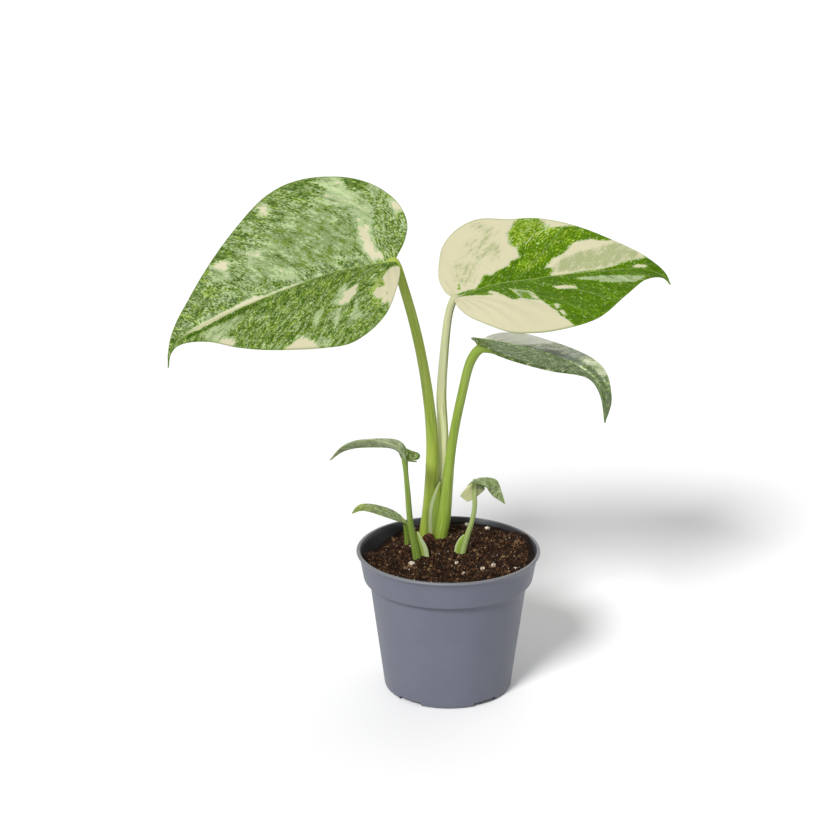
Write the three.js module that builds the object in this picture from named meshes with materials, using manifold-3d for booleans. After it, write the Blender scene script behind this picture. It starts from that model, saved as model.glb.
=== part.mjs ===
// Potted creme brulee monstera: a young aroid with three large variegated leaves and three
// small ones, growing in potting soil in a round tapered nursery pot.
// Millimetres, +Z up. The origin is the centre of the pot's underside, on the floor.
// The front of the plant faces -Y and +X is to its right.

import * as THREE from "three";
import { mergeVertices } from "three/addons/utils/BufferGeometryUtils.js";
import Module from "manifold-3d";

const wasm = await Module();
wasm.setup();

// Pot: a 12 cm nursery pot with a collar band and a rolled lip.
const POT_HEIGHT = 95.5;
const LIP_RADIUS = 60;
const LIP_DEPTH = 3.2;
const BAND_TOP_RADIUS = 58.1;
const BAND_BOTTOM_RADIUS = 55.4;
const BAND_BOTTOM = 76.2;
const BODY_TOP_RADIUS = 51.8;
const BASE_RADIUS = 42.2;
const BASE_FILLET = 2.4;
const WALL = 1.5;
const MOUTH_RADIUS = 57.9;
const MOUTH_CHAMFER = 0.6;
const BAND_EDGE = 0.4;
const POT_SEGMENTS = 60;

// Drain pads: raised pockets around the edge of the floor, each with a hole through it.
const PAD_COUNT = 5;
const PAD_WIDTH = 20;
const PAD_INNER_RADIUS = 29;
const PAD_RISE = 2.2;
const PAD_FIRST_ANGLE = -128;
const DRAIN_HOLE_RADIUS = 3.5;
const DRAIN_HOLE_PLACE = 35;
const DRAIN_HOLE_SEGMENTS = 16;

// Every cutting solid reaches this far past what it cuts.
const CUT = 6;

// Soil: its plain level slopes a little, it is banked up around the stems and it has sunk
// beside them at the back left. Each wave holds its pace along x, along y and its shift.
const SOIL_DEPTH_BELOW_RIM = 7.6;
const SOIL_SLOPE_X = 0.05;
const SOIL_SLOPE_Y = 0.055;
const SOIL_MOUND_HEIGHT = 4.2;
const SOIL_MOUND_SPREAD = 20;
const SOIL_MOUND_PLACE = [-9, 22];
const SOIL_HOLLOW_DEPTH = 4;
const SOIL_HOLLOW_SPREAD = 14;
const SOIL_HOLLOW_PLACE = [-42, 20];
const SOIL_ROUGHNESS = 0.5;
const SOIL_WAVES = [[0.45, 0.3, 0], [-0.2, 0.38, 1]];
const SOIL_RINGS = 8;
const SOIL_SECTORS = 36;

// Fits: neighbouring pieces keep this gap, and every blade has this thickness.
const GAP = 0.3;
const BLADE_THICKNESS = 0.9;

// Facets: rows along the veins of half a blade and steps along each, and a stem's rings.
const LARGE_BLADE = { veins: 16, steps: 4 };
const SMALL_BLADE = { veins: 12, steps: 3 };
const LARGE_STEM = { sides: 10, steps: 16 };
const SMALL_STEM = { sides: 8, steps: 10 };

// Veins: this share of them fans out of the junction, and each arches towards the tip.
const VEIN_FAN = 0.36;
const VEIN_ARCH = 0.16;

const COLOURS = {
  pot: 0x73757f,
  soil: 0x3b2a1f,
  leaf: 0x6d8f4a,
  paleLeaf: 0xe0d9b4,
  stem: 0x82993f,
  paleStem: 0xc3c98d,
  sheath: 0xb9c49a,
  bark: 0x6b3a2a,
  perlite: 0xd9d2c4,
};

const material = (colour, roughness) =>
  new THREE.MeshStandardMaterial({ color: colour, roughness, metalness: 0 });

const MATERIALS = {
  pot: material(COLOURS.pot, 0.5),
  soil: material(COLOURS.soil, 0.95),
  leaf: material(COLOURS.leaf, 0.45),
  paleLeaf: material(COLOURS.paleLeaf, 0.45),
  stem: material(COLOURS.stem, 0.45),
  paleStem: material(COLOURS.paleStem, 0.45),
  sheath: material(COLOURS.sheath, 0.6),
  bark: material(COLOURS.bark, 0.9),
  perlite: material(COLOURS.perlite, 0.9),
};

const RAD = Math.PI / 180;
const WELD = 1e-4;
const UP = new THREE.Vector3(0, 0, 1);
const FRONT_TO_BACK = new THREE.Vector3(0, 1, 0);
const vector = (p) => new THREE.Vector3(p[0], p[1], p[2]);
const mix = (a, b, t) => a + (b - a) * t;

// Leaves. Each spine is the path of the midrib: its first point lies behind the lobes, its
// second is the junction with the petiole and its last is the tip. Roll, fold and curl are
// degrees at even steps from the junction to the tip. Left is the left half seen from the
// petiole, and the width is that over which the curl builds up.
// An outline holds [distance along the spine, distance from the midrib] pairs.
const LEAVES = {
  leaf_upper_left: {
    spine: [
      [-5, 9.5, 290], [-34.5, 12, 284.5], [-66, 14.5, 278.5], [-93, 15, 269.5],
      [-127.5, 13.5, 256], [-155.5, 10.5, 243.5], [-171.5, 8, 234.5], [-177.5, 6.5, 226],
      [-178.5, 5.5, 216.5],
    ],
    roll: [-33, -37],
    width: 72,
    left: {
      fold: [20, 20],
      curl: [18, 18],
      outline: [
        [0, 0], [-4, 12], [-3, 32], [4, 59], [18, 74], [36, 77.5], [62, 71], [90, 57.5],
        [112, 42], [130, 21.5], [150, 6], "tip",
      ],
    },
    right: {
      fold: [18, 18],
      curl: [2, 2],
      outline: [
        [0, 0], [-8, 14], [-10, 28], [-2, 46], [18, 61.5], [44, 71.5], [66, 69], [90, 54],
        [114, 35], [138, 15], [154, 2.5], "tip",
      ],
    },
    look: "leaf",
    facets: LARGE_BLADE,
  },
  leaf_right: {
    spine: [
      [-18.5, 19, 251.5], [3, 22, 258], [27.5, 25.5, 265.5], [52, 29, 268.5], [81, 33, 271.5],
      [114, 36, 273.5], [128, 37, 272.5], [137.5, 37.5, 269], [143, 37.5, 263],
    ],
    roll: [19, 29],
    width: 62,
    left: {
      fold: [8, 8],
      curl: [4, 4],
      outline: [
        [0, 0], [-4, 10], [-3, 27], [8, 52], [28, 66], [48, 60.5], [68, 55.5], [90, 41.5],
        [112, 23.5], [130, 9], "tip",
      ],
    },
    right: {
      fold: [8, 8],
      curl: [16, 16],
      outline: [
        [0, 0], [0, 14], [6, 32], [22, 52], [42, 56.5], [66, 54], [88, 46.5], [108, 28],
        [124, 12], [138, 2.5], "tip",
      ],
    },
    look: "paleLeaf",
    facets: LARGE_BLADE,
  },
  leaf_drooping: {
    spine: [
      [2, 15, 237], [19, 8, 231.5], [38.5, 0, 225], [63, -9, 220], [81.5, -15.5, 218.5],
      [90, -19, 214.5], [95, -23, 204.5], [97, -25, 189.5],
    ],
    roll: [0, -3],
    width: 42,
    left: {
      fold: [5, 12],
      curl: [4, 4],
      outline: [
        [0, 0], [0, 16], [6, 32], [18, 43], [36, 43.5], [54, 38], [72, 24], [84, 14],
        [96, 9], "tip",
      ],
    },
    right: {
      fold: [32, 28],
      curl: [0, 0],
      outline: [
        [0, 0], [-4, 8], [4, 19], [14, 30], [27, 38], [43, 43], [55, 41], [65, 29], [73, 14],
        [84, 6], "tip",
      ],
    },
    look: "leaf",
    facets: LARGE_BLADE,
  },
  small_leaf_upper: {
    spine: [
      [-16.5, -1, 155.5], [-28.3, -1, 157.4], [-32, -1.5, 163], [-38.5, -2, 166],
      [-53, -3, 166.5], [-62, -4, 165.8], [-69, -5, 163.5], [-76, -6, 158.4],
    ],
    roll: [0, 0],
    width: 12,
    left: {
      fold: [46, 28, 42, 46, 44, 40],
      curl: [0, 4],
      outline: [
        [0, 0], [-6, 4], [-10, 9], [-3, 12], [8, 9], [16, 9], [24, 10.5], [34, 10],
        [44, 6.5], "tip",
      ],
    },
    right: {
      fold: [-2, 4, 6, 4],
      curl: [4, 4],
      outline: [
        [0, 0], [-6, 4], [-8, 8], [-2, 11], [10, 12], [22, 12], [34, 10], [44, 6], "tip",
      ],
    },
    look: "leaf",
    facets: SMALL_BLADE,
  },
  small_leaf_lower: {
    spine: [
      [-24, 22, 99.5], [-28, 22, 104.5], [-35.5, 21.5, 109.5], [-44.5, 20.5, 113.5],
      [-53, 19.5, 116], [-58.5, 18.5, 116], [-63.4, 18, 112.8],
    ],
    roll: [0, 0],
    width: 8,
    left: {
      fold: [6, 6],
      curl: [8, 8],
      outline: [[0, 0], [1, 3], [8, 6.5], [18, 7.5], [28, 6], [36, 2.5], "tip"],
    },
    right: {
      fold: [10, 6],
      curl: [8, 8],
      outline: [[0, 0], [1, 3], [8, 7], [18, 7.5], [28, 6], [36, 3], "tip"],
    },
    look: "leaf",
    facets: SMALL_BLADE,
  },
  small_leaf_right: {
    spine: [
      [6, 6, 130.5], [16.8, 5, 140.7], [22, 4, 142.7], [27.5, 3, 142.8], [31.5, 2, 141],
      [34, 0.8, 134.5], [36.4, -0.5, 126.5],
    ],
    roll: [0, 0],
    width: 12,
    left: {
      fold: [-58, -40, -30, -26],
      curl: [16, 10],
      outline: [[0, 0], [-8, 2.5], [-14, 6], [-11, 9.5], [2, 11], [12, 9], [20, 5], "tip"],
    },
    right: {
      fold: [16, -8, -28, -40, -44],
      curl: [10, 10],
      outline: [[0, 0], [-3, 3], [-4, 6], [0, 8], [6, 9], [14, 10], [23, 7], "tip"],
    },
    look: "leaf",
    facets: SMALL_BLADE,
  },
};

// Stems. A route climbs from the buried end to the junction of its leaf, and a radii pair is
// [half the width, half the depth] at each of its points.
const STEMS = {
  petiole_upper_left: {
    leaf: "leaf_upper_left",
    route: [
      [-15.5, 31, 70], [-14.5, 31, 93], [-12, 31, 114], [-10.5, 29.5, 139],
      [-10.5, 27.5, 160.5], [-12.5, 24.5, 185.5], [-16.5, 20.5, 214], [-22, 16.5, 241.5],
      [-29, 13, 268], [-34.5, 12, 284.5],
    ],
    radii: [
      [4.4, 4.4], [4.6, 4.5], [4.6, 4.4], [4.5, 4.2], [4.1, 3.9], [3.6, 3.6], [3.3, 3.3],
      [3.2, 3.2], [3, 3], [2.7, 2.7],
    ],
    look: "stem",
    facets: LARGE_STEM,
  },
  petiole_right: {
    leaf: "leaf_right",
    route: [
      [-9.5, 38.5, 70], [-8, 39, 92], [-6, 38.5, 114.5], [-4, 37, 136.5], [-3.5, 34.5, 162.5],
      [-4.5, 31, 190.5], [-3, 27.5, 218.5], [-0.5, 24, 244.5], [3, 22, 258],
    ],
    radii: [
      [3.8, 3.6], [4, 3.8], [4, 3.8], [3.9, 3.6], [3.7, 3.4], [3.3, 3.2], [2.9, 2.9],
      [2.6, 2.6], [2.4, 2.4],
    ],
    look: "paleStem",
    facets: LARGE_STEM,
  },
  petiole_drooping: {
    leaf: "leaf_drooping",
    route: [
      [-6.5, 27, 70], [-5, 26.5, 93], [-2.5, 26.5, 108], [-0.5, 26, 129], [1.5, 25, 151],
      [4.5, 22.5, 172.5], [8.5, 18.5, 194.5], [12, 14, 212.5], [16, 10.5, 224], [19, 8, 231.5],
    ],
    radii: [
      [4.4, 4.2], [4.7, 4.3], [4.5, 4.2], [3.7, 3.7], [3.2, 3.2], [3, 3], [3, 3],
      [3, 3], [3.2, 3], [3.5, 3.1],
    ],
    look: "stem",
    facets: LARGE_STEM,
  },
  small_petiole_upper: {
    leaf: "small_leaf_upper",
    route: [
      [-19.5, 0, 74], [-20.5, 0, 89.5], [-23, 0, 103], [-25, -0.5, 115.5], [-26.5, -1, 135],
      [-27.6, -1, 148], [-28.3, -1, 157.4],
    ],
    radii: [[2.8, 2.6], [2.9, 2.6], [2.4, 2.2], [2, 1.9], [1.8, 1.7], [1.6, 1.6], [2, 1.8]],
    look: "stem",
    facets: SMALL_STEM,
  },
  small_petiole_lower: {
    leaf: "small_leaf_lower",
    route: [[-26.5, 24.5, 76], [-27, 24, 91], [-27.6, 23, 98.5], [-28, 22, 104.5]],
    radii: [[1.9, 1.8], [2, 1.9], [1.8, 1.7], [1.6, 1.5]],
    look: "stem",
    facets: SMALL_STEM,
  },
  small_petiole_right: {
    leaf: "small_leaf_right",
    route: [
      [7.5, 5, 76], [9.5, 5, 90.5], [13, 5, 104], [15.5, 5, 112.5], [17, 5, 121.5],
      [17, 5, 131], [16.8, 5, 140.7],
    ],
    radii: [[2.2, 2.1], [2.2, 2.1], [1.8, 1.7], [1.6, 1.6], [1.6, 1.5], [1.5, 1.5], [1.5, 1.5]],
    look: "stem",
    facets: SMALL_STEM,
  },
};

// Sheaths: the thin wings left at the foot of a petiole, each trimmed clear of the stems.
const SHEATHS = {
  sheath_main: {
    route: [
      [-10, 26.3, 84], [-9.8, 26.2, 98], [-10.4, 26.2, 113], [-8.4, 26.4, 124],
      [-5.4, 26.8, 133],
    ],
    radii: [[1.7, 0.9], [1.6, 0.9], [1.7, 0.9], [1.2, 0.9], [0.5, 0.7]],
    facets: SMALL_STEM,
    beside: ["petiole_upper_left", "petiole_drooping"],
  },
  sheath_small_upper: {
    route: [[-15, 0.6, 82], [-16, 0.5, 94], [-18.4, 0.3, 101], [-20.4, 0.2, 107.5]],
    radii: [[3.2, 0.5], [2.6, 0.5], [1.8, 0.5], [0.6, 0.4]],
    facets: SMALL_STEM,
    beside: ["small_petiole_upper"],
  },
  sheath_small_right: {
    route: [[6.1, 4.6, 82], [6.5, 4.6, 93], [8.6, 4.7, 99], [11, 4.8, 103.5]],
    radii: [[2, 0.8], [2.3, 0.8], [2, 0.8], [0.6, 0.5]],
    facets: SMALL_STEM,
    beside: ["small_petiole_right"],
  },
};

// Loose grains half sunk into the soil: their place on it, how far their middle stands above
// it and half their sizes. Their corners are pushed in and out by two mixed waves.
const BARK_CHIP = { place: [-12.4, 21.8], stands: 1, size: [3.7, 2, 4.3], turn: 12 };
const PERLITE = [
  { place: [-23.7, -7.6], stands: 0.3, size: [2.4, 2, 1.9], turn: 0 },
  { place: [13, 50.5], stands: 0.3, size: [1.9, 1.8, 1.8], turn: 40 },
  { place: [26.8, 43], stands: 0.3, size: [2, 1.8, 1.6], turn: 80 },
  { place: [29.3, -15], stands: 0.3, size: [2, 1.7, 1.5], turn: 120 },
  { place: [21.8, -17.5], stands: 0.2, size: [1.5, 1.5, 1.3], turn: 160 },
  { place: [5.5, -9], stands: 0.2, size: [1.3, 1.2, 1.2], turn: 200 },
  { place: [9.4, -24.2], stands: 0.2, size: [1.3, 1.2, 1.3], turn: 240 },
  { place: [43, -20], stands: 0.2, size: [1.6, 1.4, 1.3], turn: 280 },
];
const GRAIN_BUMPS = [{ size: 0.16, pace: 5, shift: 3 }, { size: 0.08, pace: 11, shift: 1 }];

// Smooth curves through a point list are sampled finely enough for every use here.
const CURVE_SAMPLES = 240;

function smoothPath(points) {
  const curve = new THREE.CatmullRomCurve3(points.map(vector), false, "catmullrom", 0.5);
  return curve.getPoints(CURVE_SAMPLES);
}

function smoothOutline(points, u) {
  const flat = points.map((p) => new THREE.Vector3(p[0], p[1], 0));
  return new THREE.CatmullRomCurve3(flat, false, "catmullrom", 0.5).getPoint(u);
}

// A frame carried along a path without twisting: position, direction, side and normal.
function frames(points, reference) {
  const distances = [0];
  const found = [];
  let side = null;
  for (let i = 0; i < points.length; i += 1) {
    const before = points[Math.max(i - 1, 0)];
    const after = points[Math.min(i + 1, points.length - 1)];
    const direction = after.clone().sub(before).normalize();
    if (i > 0) distances.push(distances[i - 1] + points[i].distanceTo(points[i - 1]));
    side = side ?? new THREE.Vector3().crossVectors(reference, direction);
    side = side.clone().addScaledVector(direction, -side.dot(direction)).normalize();
    const normal = new THREE.Vector3().crossVectors(direction, side);
    found.push({ position: points[i], direction, side, normal });
  }
  return { distances, found };
}

function frameAt({ distances, found }, distance) {
  const last = distances.length - 1;
  let i = 0;
  while (i < last - 1 && distances[i + 1] < distance) i += 1;
  const span = distances[i + 1] - distances[i];
  const t = THREE.MathUtils.clamp((distance - distances[i]) / span, 0, 1);
  const blend = (key) => found[i][key].clone().lerp(found[i + 1][key], t);
  return {
    position: blend("position"),
    direction: blend("direction").normalize(),
    side: blend("side").normalize(),
    normal: blend("normal").normalize(),
  };
}

// A value at a share of the way through an evenly spaced list.
function along(values, share) {
  const place = THREE.MathUtils.clamp(share, 0, 1) * (values.length - 1);
  const i = Math.min(Math.floor(place), values.length - 2);
  return mix(values[i], values[i + 1], place - i);
}

// A leaf ready to be sampled: frames along its spine, measured from the junction.
function prepareLeaf(leaf) {
  const path = smoothPath(leaf.spine);
  const track = frames(path, UP);
  const junction = track.distances[Math.round(CURVE_SAMPLES / (leaf.spine.length - 1))];
  const length = track.distances[CURVE_SAMPLES] - junction;
  const halves = { left: { ...leaf.left, sign: 1 }, right: { ...leaf.right, sign: -1 } };
  for (const half of Object.values(halves)) {
    half.outline = half.outline.map((p) => (p === "tip" ? [length, 0] : p));
  }
  return { ...leaf, track, junction, length, halves };
}

// Keeps the bend of a flat half from being exactly zero.
const LEAST_BEND = 1e-7;

// The place and top-side normal of a blade point: x along the spine, y from the midrib.
function bladePoint(leaf, half, x, y) {
  const frame = frameAt(leaf.track, leaf.junction + x);
  const t = x / leaf.length;
  const roll = along(leaf.roll, t) * RAD;
  const side = frame.side.clone().multiplyScalar(Math.cos(roll));
  side.addScaledVector(frame.normal, Math.sin(roll));
  const normal = frame.normal.clone().multiplyScalar(Math.cos(roll));
  normal.addScaledVector(frame.side, -Math.sin(roll));
  const fold = along(half.fold, t) * RAD;
  const bend = (along(half.curl, t) * RAD) / leaf.width + LEAST_BEND;
  const angle = fold - bend * y;
  const out = (Math.sin(fold) - Math.sin(angle)) / bend;
  const rise = (Math.cos(angle) - Math.cos(fold)) / bend;
  const place = frame.position.addScaledVector(side, half.sign * out);
  place.addScaledVector(normal, rise);
  if (y === 0) return { place, normal };
  const tilted = normal.multiplyScalar(Math.cos(angle));
  tilted.addScaledVector(side, -half.sign * Math.sin(angle));
  return { place, normal: tilted };
}

// One half of a blade as rows of points: a row runs out along a vein from the midrib to the
// margin. The first rows fan out of the junction and the rest leave the midrib one by one.
function veinRows(leaf, half) {
  const rows = [];
  const { veins, steps } = leaf.facets;
  for (let j = 0; j <= veins; j += 1) {
    const u = j / veins;
    const start = leaf.length * Math.max(0, (u - VEIN_FAN) / (1 - VEIN_FAN));
    const end = smoothOutline(half.outline, u);
    const forward = VEIN_ARCH * end.y;
    const row = [];
    for (let k = 0; k <= steps; k += 1) {
      const r = k / steps;
      const x = mix(start, end.x, r) + forward * 2 * r * (1 - r);
      const reach = Math.min(x, leaf.length);
      row.push(bladePoint(leaf, half, reach, Math.max(0, end.y * r)));
    }
    rows.push(row);
  }
  return rows;
}

// Triangles gathered as a soup and then merged into one closed indexed geometry.
class Soup {
  constructor() {
    this.values = [];
  }

  triangle(a, b, c) {
    for (const p of [a, b, c]) this.values.push(p.x, p.y, p.z);
  }

  quad(a, b, c, d) {
    this.triangle(a, b, c);
    this.triangle(a, c, d);
  }

  geometry() {
    const soup = new THREE.BufferGeometry();
    soup.setAttribute("position", new THREE.Float32BufferAttribute(this.values, 3));
    return withoutSlivers(mergeVertices(soup, WELD));
  }
}

function withoutSlivers(geometry) {
  const index = geometry.getIndex().array;
  const kept = [];
  for (let i = 0; i < index.length; i += 3) {
    const [a, b, c] = [index[i], index[i + 1], index[i + 2]];
    if (a !== b && b !== c && c !== a) kept.push(a, b, c);
  }
  geometry.setIndex(kept);
  return geometry;
}

// A blade as a closed sheet that reaches "below" and "above" its middle surface.
function bladeGeometry(leaf, below, above) {
  const soup = new Soup();
  const { veins, steps } = leaf.facets;
  for (const half of Object.values(leaf.halves)) {
    const rows = veinRows(leaf, half);
    const top = rows.map((row) => row.map((p) => offsetPoint(p, above)));
    const bottom = rows.map((row) => row.map((p) => offsetPoint(p, -below)));
    const left = half.sign > 0;
    for (let j = 0; j < veins; j += 1) {
      for (let k = 0; k < steps; k += 1) {
        const upper = [top[j][k], top[j + 1][k], top[j + 1][k + 1], top[j][k + 1]];
        const lower = [bottom[j][k], bottom[j][k + 1], bottom[j + 1][k + 1], bottom[j + 1][k]];
        soup.quad(...(left ? upper : upper.reverse()));
        soup.quad(...(left ? lower : lower.reverse()));
      }
      const edge = [top[j], top[j + 1], bottom[j + 1], bottom[j]].map((row) => row[steps]);
      soup.quad(...(left ? edge : edge.reverse()));
    }
  }
  return soup.geometry();
}

function offsetPoint({ place, normal }, distance) {
  return place.clone().addScaledVector(normal, distance);
}

// Boolean solids: a closed geometry in, a closed geometry out.
function solid(geometry) {
  const bare = new THREE.BufferGeometry();
  bare.setAttribute("position", geometry.getAttribute("position").clone());
  if (geometry.getIndex()) bare.setIndex(Array.from(geometry.getIndex().array));
  const merged = withoutSlivers(mergeVertices(bare, WELD));
  return new wasm.Manifold(new wasm.Mesh({
    numProp: 3,
    vertProperties: new Float32Array(merged.getAttribute("position").array),
    triVerts: new Uint32Array(merged.getIndex().array),
  }));
}

// The geometry of a solid's main body: what a cut leaves loose beside it is dropped.
function geometryOf(manifold) {
  const bodies = manifold.decompose();
  const main = bodies.reduce((a, b) => (b.volume() > a.volume() ? b : a));
  const mesh = main.getMesh();
  const geometry = new THREE.BufferGeometry();
  const positions = new Float32Array(mesh.vertProperties);
  geometry.setAttribute("position", new THREE.BufferAttribute(positions, 3));
  geometry.setIndex(Array.from(mesh.triVerts));
  return geometry;
}

const group = new THREE.Group();

function addPiece(name, geometry, look) {
  const facets = geometry.getIndex() ? geometry.toNonIndexed() : geometry;
  facets.computeVertexNormals();
  const mesh = new THREE.Mesh(facets, look);
  mesh.name = name;
  group.add(mesh);
}

// Pot: a turned shell, with the drain pads pressed up into its floor.
function arc(x, z, radius, from, to, steps) {
  const points = [];
  for (let i = 0; i <= steps; i += 1) {
    const angle = mix(from, to, i / steps) * RAD;
    points.push([x + radius * Math.cos(angle), z + radius * Math.sin(angle)]);
  }
  return points;
}

const BASE_ARC_STEPS = 3;
const LIP_ARC_STEPS = 4;
const LIP_ROLL = LIP_DEPTH / 2;
const LIP_CENTRE = [LIP_RADIUS - LIP_ROLL, POT_HEIGHT - LIP_ROLL];
const BAND_TOP = POT_HEIGHT - LIP_DEPTH;
const LEDGE_TOP = BAND_BOTTOM + WALL;

function turned(profile, segments) {
  const points = profile.map((p) => new THREE.Vector2(p[0], p[1]));
  return new THREE.LatheGeometry(points, segments).rotateX(Math.PI / 2);
}

function potOutside() {
  return [
    [0, 0],
    ...arc(BASE_RADIUS - BASE_FILLET, BASE_FILLET, BASE_FILLET, -90, -7, BASE_ARC_STEPS),
    [BODY_TOP_RADIUS, BAND_BOTTOM],
    [BAND_BOTTOM_RADIUS - BAND_EDGE, BAND_BOTTOM],
    [BAND_BOTTOM_RADIUS, BAND_BOTTOM + BAND_EDGE],
    [BAND_TOP_RADIUS, BAND_TOP],
    ...arc(LIP_CENTRE[0], LIP_CENTRE[1], LIP_ROLL, -70, 90, LIP_ARC_STEPS),
    [0, POT_HEIGHT],
  ];
}

// Radius of the inner wall at a height above the floor, below the ledge and above it.
function bodyInside(z) {
  const t = (z - WALL) / (LEDGE_TOP - WALL);
  return mix(BASE_RADIUS, BODY_TOP_RADIUS, t) - WALL;
}

function bandInside(z) {
  const t = (z - LEDGE_TOP) / (BAND_TOP - LEDGE_TOP);
  return mix(BAND_BOTTOM_RADIUS, BAND_TOP_RADIUS, t) - WALL;
}

function potCavity() {
  return [
    [0, WALL],
    [bodyInside(WALL), WALL],
    [bodyInside(LEDGE_TOP), LEDGE_TOP],
    [bandInside(LEDGE_TOP), LEDGE_TOP],
    [bandInside(BAND_TOP), BAND_TOP],
    [MOUTH_RADIUS - MOUTH_CHAMFER, POT_HEIGHT - MOUTH_CHAMFER],
    [MOUTH_RADIUS, POT_HEIGHT],
    [MOUTH_RADIUS, POT_HEIGHT + CUT],
    [0, POT_HEIGHT + CUT],
  ];
}

function padBlock(angle, margin, height) {
  const length = BASE_RADIUS + CUT - PAD_INNER_RADIUS + margin;
  const block = new THREE.BoxGeometry(length, PAD_WIDTH + 2 * margin, 2 * height);
  block.translate(PAD_INNER_RADIUS - margin + length / 2, 0, 0);
  return solid(block.rotateZ(angle * RAD));
}

function makePot() {
  let cavity = solid(turned(potCavity(), POT_SEGMENTS));
  let shell = solid(turned(potOutside(), POT_SEGMENTS));
  const angles = Array.from({ length: PAD_COUNT }, (_, i) => (
    PAD_FIRST_ANGLE + (i * 360) / PAD_COUNT
  ));
  for (const angle of angles) {
    cavity = cavity.subtract(padBlock(angle, WALL, PAD_RISE + WALL));
  }
  shell = shell.subtract(cavity);
  for (const angle of angles) {
    const hole = new THREE.CylinderGeometry(
      DRAIN_HOLE_RADIUS, DRAIN_HOLE_RADIUS, 2 * CUT, DRAIN_HOLE_SEGMENTS,
    );
    hole.rotateX(Math.PI / 2).translate(DRAIN_HOLE_PLACE, 0, 0).rotateZ(angle * RAD);
    shell = shell.subtract(padBlock(angle, 0, PAD_RISE)).subtract(solid(hole));
  }
  addPiece("pot", geometryOf(shell), MATERIALS.pot);
}

// A tube of oval sections along a route. "grow" widens it and lengthens its lower end.
function stemGeometry({ route, radii, facets }, grow) {
  const path = smoothPath(route);
  const track = frames(path, FRONT_TO_BACK);
  const widths = smoothPath(radii.map((r) => [r[0], r[1], 0]));
  const total = track.distances[CURVE_SAMPLES];
  const rings = [];
  for (let i = 0; i <= facets.steps; i += 1) {
    const distance = (total * i) / facets.steps;
    const frame = frameAt(track, distance);
    const sample = nearestIndex(track.distances, distance);
    const [a, b] = [widths[sample].x + grow, widths[sample].y + grow];
    if (i === 0) frame.position.addScaledVector(frame.direction, -grow);
    const ring = [];
    for (let k = 0; k < facets.sides; k += 1) {
      const angle = (2 * Math.PI * k) / facets.sides;
      const point = frame.position.clone();
      point.addScaledVector(frame.side, a * Math.cos(angle));
      ring.push(point.addScaledVector(frame.normal, b * Math.sin(angle)));
    }
    rings.push({ ring, centre: frame.position });
  }
  return closedTube(rings);
}

function nearestIndex(distances, wanted) {
  let i = 0;
  while (i < distances.length - 1 && distances[i] < wanted) i += 1;
  return i;
}

function closedTube(rings) {
  const soup = new Soup();
  const first = rings[0];
  const last = rings[rings.length - 1];
  const sides = first.ring.length;
  for (let k = 0; k < sides; k += 1) {
    const next = (k + 1) % sides;
    for (let i = 0; i < rings.length - 1; i += 1) {
      const [low, high] = [rings[i].ring, rings[i + 1].ring];
      soup.quad(low[k], low[next], high[next], high[k]);
    }
    soup.triangle(first.centre, first.ring[next], first.ring[k]);
    soup.triangle(last.centre, last.ring[k], last.ring[next]);
  }
  return soup.geometry();
}

// The space above a leaf's junction: a petiole is cut off flat just under its blade.
const CUTTER = 30;
const STEM_TRIM = 4;

function aboveJunction(leaf) {
  const { place, normal } = bladePoint(leaf, leaf.halves.left, 0, 0);
  const along = frameAt(leaf.track, leaf.junction).direction;
  const side = new THREE.Vector3().crossVectors(normal, along).normalize();
  const basis = new THREE.Matrix4().makeBasis(along, side, normal);
  const floor = BLADE_THICKNESS / 2 + GAP;
  const block = new THREE.BoxGeometry(CUTTER, CUTTER, CUTTER).translate(0, 0, CUTTER / 2 - floor);
  return solid(block.applyMatrix4(basis.setPosition(place)));
}

const leaves = Object.fromEntries(
  Object.entries(LEAVES).map(([name, leaf]) => [name, prepareLeaf(leaf)]),
);

function makeLeaves() {
  for (const [name, leaf] of Object.entries(leaves)) {
    const half = BLADE_THICKNESS / 2;
    addPiece(`${name}_blade`, bladeGeometry(leaf, half, half), MATERIALS[leaf.look]);
  }
}

// What a petiole must keep clear of: the space over its junction and the blade with a gap
// all round, which is the blade made thicker and the blade moved a little each way.
const NUDGES = [[1, 0, 0], [-1, 0, 0], [0, 1, 0], [0, -1, 0], [0, 0, 1], [0, 0, -1]];

function withoutBlade(stem, leaf) {
  const half = BLADE_THICKNESS / 2;
  const blade = bladeGeometry(leaf, half, half);
  let rest = stem.subtract(aboveJunction(leaf));
  rest = rest.subtract(solid(bladeGeometry(leaf, half + GAP, STEM_TRIM)));
  for (const nudge of NUDGES) {
    const moved = blade.clone().translate(...nudge.map((n) => n * GAP));
    rest = rest.subtract(solid(moved));
  }
  return rest;
}

function makeStems() {
  for (const [name, stem] of Object.entries(STEMS)) {
    const body = withoutBlade(solid(stemGeometry(stem, 0)), leaves[stem.leaf]);
    addPiece(name, geometryOf(body), MATERIALS[stem.look]);
  }
}

function makeSheaths() {
  for (const [name, sheath] of Object.entries(SHEATHS)) {
    let body = solid(stemGeometry(sheath, 0));
    for (const stem of sheath.beside) {
      body = body.subtract(solid(stemGeometry(STEMS[stem], GAP)));
    }
    addPiece(name, geometryOf(body), MATERIALS.sheath);
  }
}

// A small irregular grain: a coarse ball with its corners pushed in and out.
function grainGeometry({ place: [x, y], stands, size, turn }, grow) {
  const ball = mergeVertices(bareBall());
  const corners = ball.getAttribute("position");
  for (let i = 0; i < corners.count; i += 1) {
    const bump = GRAIN_BUMPS.reduce((sum, wave) => (
      sum + wave.size * Math.sin(wave.pace * i + wave.shift * turn)
    ), 1);
    const p = new THREE.Vector3().fromBufferAttribute(corners, i);
    p.set(...["x", "y", "z"].map((axis, n) => p[axis] * bump * (size[n] + grow)));
    corners.setXYZ(i, p.x, p.y, p.z);
  }
  return ball.rotateZ(turn * RAD).translate(x, y, soilHeight(x, y) + stands);
}

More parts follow.
